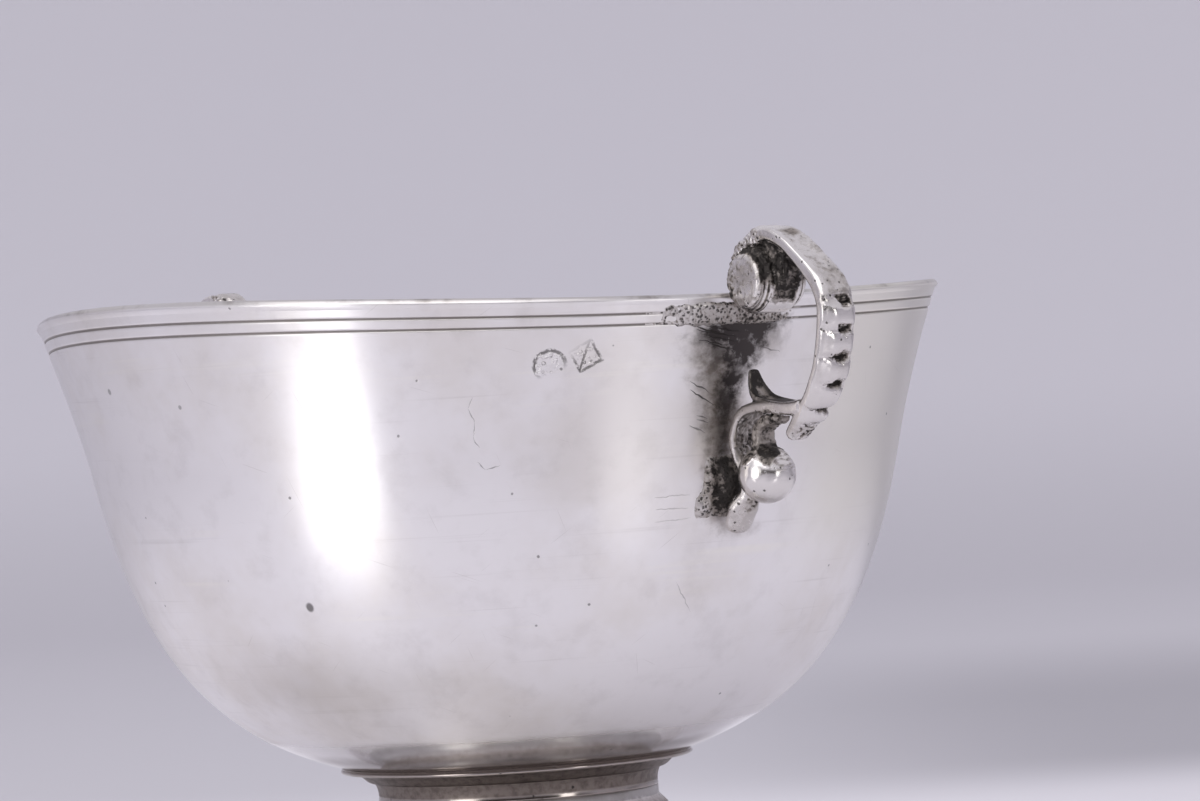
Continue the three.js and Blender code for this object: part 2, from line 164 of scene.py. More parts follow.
def scaled(place, share):
    """A place or a colour times a number."""
    return step(tree_of(place), "ShaderNodeVectorMath", {0: place, "Scale": share}, operation="SCALE")


def parts(place):
    """The three numbers of a place."""
    split = step(tree_of(place), "ShaderNodeSeparateXYZ", {0: place})
    return [split.other(axis) for axis in "XYZ"]


def place_of(*numbers):
    """A place made of its numbers."""
    return step(tree_of(*numbers), "ShaderNodeCombineXYZ", dict(enumerate(numbers)))


def smooth_between(value, low, high):
    """0 under low, 1 over high, with a soft step between. low may be over high."""
    ends = {"Value": value, "From Min": low, "From Max": high}
    return step(tree_of(value), "ShaderNodeMapRange", ends, interpolation_type="SMOOTHSTEP")


def soft_noise(place, scale, detail=2.0, roughness=0.5, seed=None, out=0):
    """Uneven clouds over a place, from 0 to 1. A seed gives another pattern."""
    inputs = {"Vector": place, "Scale": scale, "Detail": detail, "Roughness": roughness}
    if seed is None:
        return step(tree_of(place), "ShaderNodeTexNoise", inputs, out)
    return step(tree_of(place), "ShaderNodeTexNoise", {**inputs, "W": seed}, out, noise_dimensions="4D")


def layered(colour, layers):
    """A colour with masks laid over it one after another, each with its own tone."""
    for mask, tone in layers:
        inputs = {"Factor": mask, 6: colour, 7: tone}
        colour = step(tree_of(mask), "ShaderNodeMix", inputs, 2, data_type="RGBA")
    return colour


def object_place(tree):
    """Where a point of the piece lies, in metres."""
    return step(tree, "ShaderNodeTexCoord", out="Object")


def given_to(tree):
    """What a tree of nodes is given, by name."""
    return {socket.name: Flow(socket) for socket in tree.nodes.new("NodeGroupInput").outputs if socket.name}


def turned_tree():
    """A form turned round the Z axis from an outline of radius (X) and height (Z).

    The rim may dip at two opposite places and lean, and the wall may be a little uneven."""
    tree = bpy.data.node_groups.new("Turned form", "GeometryNodeTree")
    kinds = {"Outline": "Geometry", "Steps round": "Int"}
    kinds.update(dict.fromkeys(("Rim height", "Sag", "Sag turn", "Lean", "Lean turn", "Bend depth",
                                "Unevenness", "Unevenness size", "Seed"), "Float"))
    kinds["Finish"] = "Material"
    for name, kind in kinds.items():
        tree.interface.new_socket(name, in_out="INPUT", socket_type="NodeSocket" + kind)
    tree.interface.new_socket("Form", in_out="OUTPUT", socket_type="NodeSocketGeometry")
    given = given_to(tree)
    outline = given["Outline"]
    rows = step(tree, "GeometryNodeAttributeDomainSize", {"Geometry": outline}, "Point Count",
                component="MESH")
    sheet = {"Size X": 1, "Size Y": 1, "Vertices X": rows, "Vertices Y": given["Steps round"] + 1}
    grid = step(tree, "GeometryNodeMeshGrid", sheet)
    place = step(tree, "GeometryNodeInputPosition")
    along, across, _ = parts(place)
    row = maths("ROUND", (along + 0.5) * (rows - 1))
    around = (across + 0.5) * (2 * math.pi)
    point = step(tree, "GeometryNodeSampleIndex", {"Geometry": outline, "Value": place, "Index": row},
                 data_type="FLOAT_VECTOR", domain="POINT")
    radius, _, height = parts(point)
    cosine = maths("COSINE", around)
    sine = maths("SINE", around)
    drop = given["Rim height"] - height

    # The wall swells and sinks softly, inside and outside together, and less near the axis
    spot = place_of(cosine * 0.05, sine * 0.05, height + given["Seed"])
    swell = (soft_noise(spot, 1 / given["Unevenness size"], 1.0) - 0.5) * given["Unevenness"]
    radius = radius + swell * maths("MINIMUM", radius * 50, 1)
    share = maths("MAXIMUM", 1 - drop / given["Bend depth"], 0)
    sag = maths("COSINE", (around - given["Sag turn"]) * 2) * given["Sag"]
    lean = (maths("COSINE", around - given["Lean turn"]) + 1) * given["Lean"]
    target = place_of(radius * cosine, radius * sine, height - share * share * (sag + lean))
    form = step(tree, "GeometryNodeStoreNamedAttribute", {"Geometry": grid, "Name": "drop", "Value": drop},
                data_type="FLOAT", domain="POINT")
    form = step(tree, "GeometryNodeSetPosition", {"Geometry": form, "Position": target})
    form = step(tree, "GeometryNodeMergeByDistance", {"Geometry": form, "Distance": 2e-6})
    for kind in ("FlipFaces", "SetShadeSmooth", "RealizeInstances"):
        form = step(tree, "GeometryNode" + kind, {0: form})
    form = step(tree, "GeometryNodeSetMaterial", {"Geometry": form, "Material": given["Finish"]})
    feed(tree.nodes.new("NodeGroupOutput"), "Form", form)
    return tree


turned_form = turned_tree()


def new_piece(name, vertices, faces):
    """Puts a piece in the scene, made of vertices in millimetres and faces."""
    mesh = bpy.data.meshes.new(name)
    mesh.from_pydata([(x * MM, y * MM, z * MM) for x, y, z in vertices], [], faces)
    piece = bpy.data.objects.new(name, mesh)
    scene.collection.objects.link(piece)
    return piece


def settle(piece):
    """Keeps what a piece's modifiers make of it as its plain mesh."""
    mesh = bpy.data.meshes.new_from_object(piece.evaluated_get(bpy.context.evaluated_depsgraph_get()))
    mesh.name = piece.name
    piece.modifiers.clear()
    piece.data = mesh


def turned_piece(name, outline, finish, steps=240, uneven=0.0, uneven_size=14, seed=0.0, bend=None):
    """Turns an outline of (radius, height) points in millimetres and keeps the result as a plain mesh.

    bend holds the rim's bend, in metres and radians."""
    piece = new_piece(name, [(r, 0, h) for r, h in outline], [])
    modifier = piece.modifiers.new("form", "NODES")
    modifier.node_group = turned_form
    values = {"Steps round": steps, "Bend depth": 1.0, "Unevenness": uneven * MM,
              "Unevenness size": uneven_size * MM, "Seed": seed, "Finish": finish}
    values.update(bend or {})
    for item in turned_form.interface.items_tree:
        if item.name in values:
            modifier[item.identifier] = values[item.name]
    settle(piece)
    return piece


def plain_finish(name):
    """A new material, its tree of nodes and its shader."""
    material = bpy.data.materials.new(name)
    material.use_nodes = True
    return material, material.node_tree, material.node_tree.nodes["Principled BSDF"]


paper, paper_nodes, paper_shader = plain_finish("pale grey paper")
feed(paper_shader, "Roughness", 0.9)
feed(paper_shader, "Specular IOR Level", 0.1)
paper_place = object_place(paper_nodes)
paper_height = parts(paper_place)[2]
paper_side = vector("DOT_PRODUCT", paper_place, towards)
paper_right = vector("DOT_PRODUCT", paper_place, sideways)
paper_far = vector("LENGTH", vector("MULTIPLY", paper_place, (1, 1, 0)))
hung = smooth_between(paper_side, *cloth_from) * smooth_between(paper_height, *cloth_up)
flat_part = smooth_between(paper_height, 0.07, 0.0)
paper_tone = layered(paper_colour, [(soft_noise(paper_place, 1.2), faded_paper)])
floor_colour = scaled(paper_tone, 1.0 - flat_part * (1.0 - floor_share))
# Painted shadow: the paper behind the cup, on its right, is darkened
painted_shadow_behind_cup = smooth_between(paper_right, 0.0, 0.12) * smooth_between(paper_side, -0.75, -0.45)
painted_shadow_behind_cup = painted_shadow_behind_cup * smooth_between(paper_side, -0.2, -0.3)
# The paler paper round the cup is a painted pool of light
feed(paper_shader, "Base Color", layered(floor_colour, [
    (smooth_between(paper_far, *painted_light_reach[::-1]), painted_light_paper_colour),
    (painted_shadow_behind_cup, shaded_paper_colour), (hung, cloth_colour)]))

sweep = [(0, 0), (paper_flat, 0)]
for degrees in range(6, 91, 6):
    angle = math.radians(degrees)
    sweep.append((paper_flat + paper_rise * math.sin(angle), paper_rise * (1 - math.cos(angle))))
sweep.append((paper_flat + paper_rise, paper_wall))
backdrop = turned_piece("paper_sweep", sweep[::-1], paper, steps=96)

# The lamps
# Soft boxes: a large one overhead, one at the left front and a weaker one at the right front.
# Two small ones close to the paper light the underside of the bowl and the collar. The room is dim.
room = bpy.data.worlds.new("room")
scene.world = room
room.use_nodes = True
room_light = room.node_tree.nodes["Background"]
feed(room_light, "Color", (0.43, 0.42, 0.46, 1))
feed(room_light, "Strength", 1.7)


def soft_box(name, turn, height, distance, size, power, aim, spread=180):
    """A lamp at a turn about the cup, aimed at a height on its axis.

    The turn is in degrees from the camera towards its right."""
    lamp = bpy.data.lights.new(name, "AREA")
    lamp.shape = "RECTANGLE"
    lamp.size = size[0] * MM
    lamp.size_y = size[1] * MM
    lamp.energy = power
    lamp.spread = math.radians(spread)
    angle = math.radians(turn)
    outward = towards * math.cos(angle) + sideways * math.sin(angle)
    holder = bpy.data.objects.new(name, lamp)
    place = outward * distance * MM + upwards * height * MM
    facing = place - upwards * aim * MM
    holder.matrix_world = Matrix.Translation(place) @ facing.to_track_quat("Z", "Y").to_matrix().to_4x4()
    holder.visible_camera = False
    scene.collection.objects.link(holder)


soft_box("overhead", -24, 1300, 850, (1700, 1700), 10.5, aim=0)
soft_box("left_front", -46, 130, 620, (260, 300), 0.5, aim=40)
soft_box("right_front", 40, 110, 700, (150, 220), 0.3, aim=40)
soft_box("low_left", -40, 20, 145, (44, 36), 0.0015, aim=60, spread=50)
soft_box("low_right", 31, 16, 145, (30, 30), 0.00018, aim=60, spread=50)

# The bowl
# Raised from one sheet of silver, planished smooth and polished by hand on the lathe.
# Its lip is hammered down on itself, and two lines are cut round the outside under it.
rim_height = 83
rim_radius = 56.17
bowl_depth = 60.3
wall = 0.95
rim_sag = 1.7
sag_turn = -10
rim_lean = 2.1
lean_turn = 135
bend_depth = 30
waist_drop = 20
waist_radius = 50.4
waist_taper = 0.21
bottom_pull = 34.4
side_pull = 26.1
flare_pull = 5.9
lip_pull = 5.2
lip_flare = 0.344
lip_thickness = 1.5
line_drops = (2.4, 3.8)
line_width = 0.36
line_depth = 0.2
girth = 50.0
left_turn = 182
silver_colour = (0.86, 0.84, 0.84, 1)
warm_silver = (0.74, 0.70, 0.655, 1)
yellowed = (0.90, 0.875, 0.80, 1)
grey_brown = (0.30, 0.265, 0.235, 1)
soot = (0.05, 0.045, 0.042, 1)
soft_soot = (0.075, 0.066, 0.064, 1)
# Brown of the underside: tarnish and a painted dark reflection of the collar
underside_tarnish_and_reflection = (0.21, 0.175, 0.155, 1)
# Dark dirt of the cut lines, also laid on the lip's top as a painted dark reflection
line_dirt_and_lip_reflection = (0.16, 0.135, 0.115, 1)

# Soot and fire stain beside a handle: degrees round, millimetres from the lip, reach both ways, darkness
soot_patches = [
    (0.2, -3.0, 4.2, 1.6, 0.8), (0.0, -5.4, 2.4, 2.6, 0.85), (-0.8, -8.6, 1.8, 2.8, 0.75),
    (-1.8, -12.4, 1.5, 3.0, 0.85), (-4.8, -4.9, 2.6, 1.1, 0.7), (-3.8, -6.8, 1.4, 1.7, 0.6),
    (3.0, -4.2, 2.4, 1.6, 0.5), (-2.9, -4.0, 2.4, 1.3, 0.65), (2.2, -6.8, 1.3, 1.8, 0.35),
    (-1.6, -18.5, 0.7, 2.4, 0.5)]
brown_patches = [
    (-3.4, -6.4, 4.2, 3.4, 0.6), (3.6, -5.4, 2.4, 2.4, 0.4), (-3.8, -10.4, 2.6, 3.8, 0.6),
    (-2.8, -15.6, 2.0, 3.8, 0.7), (-3.4, -20.6, 1.3, 3.2, 0.45), (0.0, -23.6, 3.6, 3.6, 0.45),
    (2.0, -27.6, 3.4, 1.0, 0.35), (-0.5, -16.0, 1.5, 6.0, 0.4)]
# File strokes across it: degrees and millimetres from the lip at both ends, width, darkness
file_strokes = [
    (-7.9, -3.6, -3.4, -4.7, 0.13, 0.95), (-6.9, -5.2, -2.4, -6.2, 0.12, 0.9),
    (-5.4, -3.9, -0.8, -4.6, 0.12, 0.9), (-7.5, -4.0, -1.6, -5.1, 0.14, 0.95),
    (-6.6, -4.6, -1.2, -5.8, 0.12, 0.9), (-5.9, -5.6, -1.6, -6.7, 0.12, 0.9),
    (-7.0, -3.5, -2.9, -4.1, 0.10, 0.6), (-7.6, -10.1, -4.6, -11.4, 0.13, 0.8),
    (-7.5, -11.0, -3.9, -13.0, 0.14, 0.9), (-6.2, -14.0, -4.5, -14.5, 0.13, 0.6),
    (-6.2, -14.5, -4.3, -15.1, 0.12, 0.6), (-7.2, -15.2, -4.8, -16.1, 0.12, 0.6),
    (2.7, -6.5, 5.7, -7.2, 0.10, 0.6), (-12.0, -23.3, -6.6, -23.3, 0.09, 0.35),
    (-11.8, -24.8, -6.8, -24.8, 0.09, 0.35), (-11.7, -26.3, -6.3, -26.0, 0.09, 0.3),
    (-7.5, -33.6, -4.2, -37.2, 0.10, 0.35)]
# Dark dots on the open wall: degrees, true height, radius, darkness
dark_dots = [(-64.05, 47.0, 0.62, 0.75), (-93.5, 73.9, 0.4, 0.5), (-78.5, 71.5, 0.3, 0.45)]
# Hair scratches on it: degrees and true height at both ends, width
hair_scratches = [
    (-36.1, 70.5, -36.9, 69.3, 0.09), (-36.9, 69.3, -36.1, 67.6, 0.08), (-36.1, 67.6, -36.5, 65.9, 0.08),
    (-36.5, 65.9, -35.8, 64.6, 0.08), (-36.1, 63.0, -35.3, 62.0, 0.10), (-35.3, 62.0, -33.2, 62.4, 0.09)]


def cubic(a, b, c, d, steps):
    """Points on a smooth curve from a to d, drawn towards b and c on its way."""
    t = np.linspace(0, 1, steps + 1)[:, None]
    a, b, c, d = (np.array(p, float) for p in (a, b, c, d))
    return (1 - t) ** 3 * a + 3 * (1 - t) ** 2 * t * b + 3 * (1 - t) * t * t * c + t ** 3 * d


def moved_out(points, distance):
    """An outline moved sideways: positive is away from the metal."""
    slope = np.gradient(points, axis=0)
    slope /= np.linalg.norm(slope, axis=1)[:, None]
    out = points + distance * np.column_stack([slope[:, 1], -slope[:, 0]])
    out[:, 0] = np.maximum(out[:, 0], 0)
    return out


def listed(points):
    """Points as a list of pairs."""
    return list(map(tuple, points))


waist_height = rim_height - waist_drop
bowl_bottom = rim_height - bowl_depth
bottom_curve = cubic((0, bowl_bottom), (bottom_pull, bowl_bottom),
                     (waist_radius - waist_taper * side_pull, waist_height - side_pull),
                     (waist_radius, waist_height), 400)
flare_curve = cubic((waist_radius, waist_height),
                    (waist_radius + waist_taper * flare_pull, waist_height + flare_pull),
                    (rim_radius - lip_flare * lip_pull, rim_height - lip_pull), (rim_radius, rim_height), 400)
bowl_side = np.vstack([bottom_curve, flare_curve[1:]])


def wall_radius(height):
    """Radius of the bowl's outside at a height, before the rim was bent."""
    return float(np.interp(height, bowl_side[:, 1], bowl_side[:, 0]))


def rim_drop(angle):
    """How far the rim lies under its true height at an angle about the axis."""
    sag = rim_sag * np.cos(2 * (angle - math.radians(sag_turn)))
    return sag + rim_lean * (1 + np.cos(angle - math.radians(lean_turn)))


def bowl_outline():
    """The section of the bowl: up its outside from the middle, round the lip and down its inside."""
    outside = listed(bottom_curve[::5])
    for drop in [*np.arange(waist_drop - 0.5, 5, -0.5), *np.arange(5, 1.2, -0.06)]:
        cut = sum(math.exp(-((drop - line) / (line_width / 2)) ** 2 * 1.6) for line in line_drops)
        height = rim_height - drop
        outside.append((wall_radius(height) - line_depth * min(cut, 1), height))
    lip = []
    half = lip_thickness / 2
    for degrees in range(0, 181, 12):
        angle = math.radians(degrees)
        lip.append((rim_radius - half + half * math.cos(angle), rim_height - half + half * math.sin(angle)))
    inner_flare = moved_out(flare_curve, -wall)[:330:12]
    inner_bottom = moved_out(bottom_curve, -wall)[::7]
    inside = np.vstack([inner_bottom, inner_flare])[::-1]
    inside[-1] = (0, bowl_bottom + wall)
    return outside + lip + listed(inside)


def group(name, inputs, outputs, gives="Float"):
    """A group of nodes with named inputs and outputs. Returns its tree, what it is given, and its end."""
    tree = bpy.data.node_groups.new(name, "ShaderNodeTree")
    for label, value in inputs.items():
        kind = "Float" if isinstance(value, float) else "Vector"
        socket = tree.interface.new_socket(label, in_out="INPUT", socket_type="NodeSocket" + kind)
        socket.default_value = value
    for label in outputs:
        tree.interface.new_socket(label, in_out="OUTPUT", socket_type="NodeSocket" + gives)
    return tree, given_to(tree), tree.nodes.new("NodeGroupOutput")


def use(tree, made, inputs):
    """Places a group of nodes in a tree and returns what it gives out, by name."""
    node = step(tree, "ShaderNodeGroup", inputs, node_tree=made).socket.node
    return {socket.name: Flow(socket) for socket in node.outputs}


def spun_by(place, angle):
    """A place turned about the Z axis."""
    return step(tree_of(place), "ShaderNodeVectorRotate", {"Vector": place, "Angle": angle},
                rotation_type="Z_AXIS")


def make_place_on_wall():
    """Where a point lies on the turned wall: millimetres round from a turn, and up from a level."""
    inputs = {"Girth radius": 50.0, "Turn": 0.0, "Level": 0.0}
    tree, given, end = group("Place on the wall", inputs, ["Place"], "Vector")
    x, y, z = parts(spun_by(object_place(tree), given["Turn"] * -1.0))
    around = maths("ARCTAN2", y, x) * given["Girth radius"]
    feed(end, "Place", place_of(around, z * 1000.0 - given["Level"]))
    return tree


def make_turning_lines():
    """Fine rings left by polishing on a lathe, broken and uneven. Height is in millimetres."""
    tree, given, end = group("Turning lines", {"Fineness": 3800.0, "Height": 0.001}, ["Height", "Streaks"])
    spot = object_place(tree)
    rings = []
    for stretch, share in ((1.0, 0.6), (0.23, 1.0)):
        long_spot = vector("MULTIPLY", spot, place_of(34.0, 34.0, given["Fineness"] * stretch))
        rings.append((soft_noise(long_spot, 1.0, 2.0, 0.6) - 0.5) * share)
    both = rings[0] + rings[1]
    feed(end, "Height", both * given["Height"])
    feed(end, "Streaks", smooth_between(both, 0.12, 0.42))
    return tree


def make_pits():
    """Small round pits, only in some places. Amount runs from 0, none, to 1, crowded."""
    tree, given, end = group("Pits", {"Spacing": 0.6, "Size": 0.3, "Amount": 0.3}, ["Mask"])
    spot = object_place(tree)
    scale = 1000.0 / given["Spacing"]
    shift = vector("MULTIPLY", soft_noise(spot, scale, out=1), (0.0004, 0.0004, 0.0004))
    cells = step(tree, "ShaderNodeTexVoronoi", {"Vector": vector("ADD", spot, shift), "Scale": scale,
                                                "Randomness": 1.0}, feature="F1")
    near = smooth_between(cells, given["Size"], given["Size"] * 0.6)
    lot = step(tree, "ShaderNodeSeparateColor", {0: cells.other("Color")})
    feed(end, "Mask", near * maths("LESS_THAN", lot, given["Amount"]))
    return tree


def make_clouds():
    """Soft uneven clouds of tarnish between two sizes of detail."""
    tree, given, end = group("Tarnish clouds", {"Size": 20.0, "Cover": 0.5, "Seed": 0.0}, ["Mask"])
    cloud = soft_noise(object_place(tree), 1000.0 / given["Size"], 5.0, 0.62, given["Seed"])
    low = 0.78 - given["Cover"] * 0.5
    feed(end, "Mask", smooth_between(cloud, low - 0.12, low + 0.12))
    return tree


anywhere = (0.0, 0.0, 0.0)


def make_soft_patch():
    """A soft-edged oval patch on the wall, with a ragged edge."""
    inputs = {"Place": anywhere, "Middle": anywhere, "Reach": anywhere,
              "Turn": 0.0, "Ragged": 0.4, "Grain": 1.0, "Soft": 0.1}
    tree, given, end = group("Soft patch", inputs, ["Mask"])
    away = spun_by(vector("SUBTRACT", given["Place"], given["Middle"]), given["Turn"])
    far = vector("LENGTH", vector("DIVIDE", away, given["Reach"]))
    rag = (soft_noise(given["Place"], given["Grain"], 4.0, 0.65) - 0.5) * (given["Ragged"] * 4.0)
    feed(end, "Mask", smooth_between(far + rag, 1.05 + given["Soft"], 0.7 - given["Soft"]))
    return tree


def make_strokes():
    """Straight scratches that lie side by side: long streaks, turned to a direction."""
    inputs = {"Place": anywhere, "Turn": 0.0, "Length": 8.0, "Spacing": 0.35, "Sparse": 0.6, "Seed": 0.0}
    tree, given, end = group("Strokes", inputs, ["Mask"])
    drawn_out = place_of(1.0 / given["Length"], 1.0 / given["Spacing"])
    long_place = vector("MULTIPLY", spun_by(given["Place"], given["Turn"]), drawn_out)
    streak = soft_noise(long_place, 1.0, 1.0, 0.4, given["Seed"])
    feed(end, "Mask", smooth_between(streak, given["Sparse"], given["Sparse"] + 0.05))
    return tree


def make_scratch():
    """One scratch with tapering ends, from one place to another."""
    inputs = {"Place": anywhere, "From": anywhere, "To": anywhere, "Width": 0.1}
    tree, given, end = group("Scratch", inputs, ["Mask"])
    wander = vector("SUBTRACT", soft_noise(given["Place"], 0.9, 1.0, out=1), (0.5, 0.5, 0.5))
    place = vector("MULTIPLY_ADD", wander, (0.5, 0.5, 0.0), given["Place"])
    run = vector("SUBTRACT", given["To"], given["From"])
    off = vector("SUBTRACT", place, given["From"])
    share = vector("DOT_PRODUCT", off, run) / vector("DOT_PRODUCT", run, run)
    share = step(tree, "ShaderNodeClamp", {0: share})
    far = vector("DISTANCE", off, scaled(run, share))
    width = given["Width"] * (1.15 - maths("ABSOLUTE", share * 2.0 - 1.0))
    feed(end, "Mask", smooth_between(far, width, width * 0.3))
    return tree


def make_punch():
    """A struck mark left plain and partly worn away: a sunk round or lozenge with a bar and a few pellets."""
    inputs = {"Place": anywhere, "Middle": anywhere, "Size": 1.7, "Turn": 0.0, "Corners": 0.0,
              "Worn side": (1.0, 0.0, 0.0)}
    tree, given, end = group("Plain punch mark", inputs, ["Sunk", "Line"])
    away = vector("SUBTRACT", given["Place"], given["Middle"])
    spun = spun_by(away, given["Turn"])
    x, y, _ = parts(spun)
    lozenge = maths("ABSOLUTE", x) + maths("ABSOLUTE", y)
    far = step(tree, "ShaderNodeMix", {"Factor": given["Corners"], 2: vector("LENGTH", spun), 3: lozenge},
               data_type="FLOAT")
    ragged = soft_noise(given["Place"], 1.6, 3.0)
    far = far / given["Size"] + (ragged - 0.5) * 0.35
    lost = vector("DOT_PRODUCT", away, given["Worn side"]) / given["Size"]
    left = smooth_between(lost, 0.55, -0.15) * smooth_between(ragged, 0.34, 0.5)
    edge = smooth_between(far, 1.1, 1.0) * smooth_between(far, 0.8, 0.9)
    across = smooth_between(maths("ABSOLUTE", x + 0.1), 0.17, 0.07)
    bar = across * (given["Corners"] * smooth_between(far, 1.0, 0.9))
    dots = step(tree, "ShaderNodeTexVoronoi", {"Vector": spun, "Scale": 1.25, "Randomness": 0.6},
                feature="F1")
    pellet = smooth_between(dots, 0.3, 0.2) * smooth_between(far, 0.75, 0.6)
    pellet_edge = smooth_between(dots, 0.36, 0.3) * smooth_between(far, 0.75, 0.6)
    line = maths("MAXIMUM", maths("MAXIMUM", edge, bar), (pellet_edge - pellet) * 0.7)
    feed(end, "Sunk", (smooth_between(far, 1.0, 0.86) - pellet) * left)
    feed(end, "Line", line * left)
    return tree


place_on_wall = make_place_on_wall()
turning_lines = make_turning_lines()
pits = make_pits()
tarnish_clouds = make_clouds()
soft_patch = make_soft_patch()
strokes = make_strokes()
punch_mark = make_punch()
scratch = make_scratch()


def on_wall(degrees, height):
    """A place on the wall from its turn about the axis and its height."""
    return (math.radians(degrees) * girth, height, 0.0)


def patch_on(place, degrees, height, wide, tall, ragged, grain=1.0, soft=0.1):
    """The mask of one soft patch."""
    inputs = {"Place": place, "Middle": on_wall(degrees, height), "Reach": (wide, tall, 1),
              "Ragged": ragged, "Grain": grain, "Soft": soft}
    return use(tree_of(place), soft_patch, inputs)["Mask"]


def scratch_on(place, degrees, height, degrees_on, height_on, width):
    """The mask of one scratch."""
    inputs = {"Place": place, "From": on_wall(degrees, height), "To": on_wall(degrees_on, height_on),
              "Width": width}
    return use(tree_of(place), scratch, inputs)["Mask"]


def strongest(masks):
    """The strongest of several masks."""
    most = masks[0]
    for mask in masks[1:]:
        most = maths("MAXIMUM", most, mask)
    return most


def stored(tree, name):
    """A number that was stored at each vertex."""
    return step(tree, "ShaderNodeAttribute", out="Fac", attribute_name=name)


def dress(shader, colour, rough, height):
    """Gives silver its colour, its gloss and its relief, which is in millimetres."""
    feed(shader, "Base Color", colour)
    feed(shader, "Metallic", 1.0)
    feed(shader, "Roughness", rough)
    bump = step(shader.id_data, "ShaderNodeBump", {"Strength": 1.0, "Distance": MM, "Height": height})
    feed(shader, "Normal", bump)


def make_handle_stain():
    """What heat, solder and a file left on the wall beside a handle: soot, brown stain and strokes."""
    inputs = {"Turn": 0.0, "Level": 0.0}
    tree, given, end = group("Stain beside a handle", inputs, ["Soot", "Brown", "Strokes"])
    at = {"Girth radius": girth, "Turn": given["Turn"], "Level": given["Level"]}
    place = use(tree, place_on_wall, at)["Place"]
    for output, patches in (("Soot", soot_patches), ("Brown", brown_patches)):
        masks = [patch_on(place, *where, 0.42, 0.75, 0.48) * tone for *where, tone in patches]
        total = masks[0]
        for mask in masks[1:]:
            total = total + mask
        feed(end, output, maths("MINIMUM", total, 1.0))
    feed(end, "Strokes", strongest([scratch_on(place, *where) * tone for *where, tone in file_strokes]))
    return tree


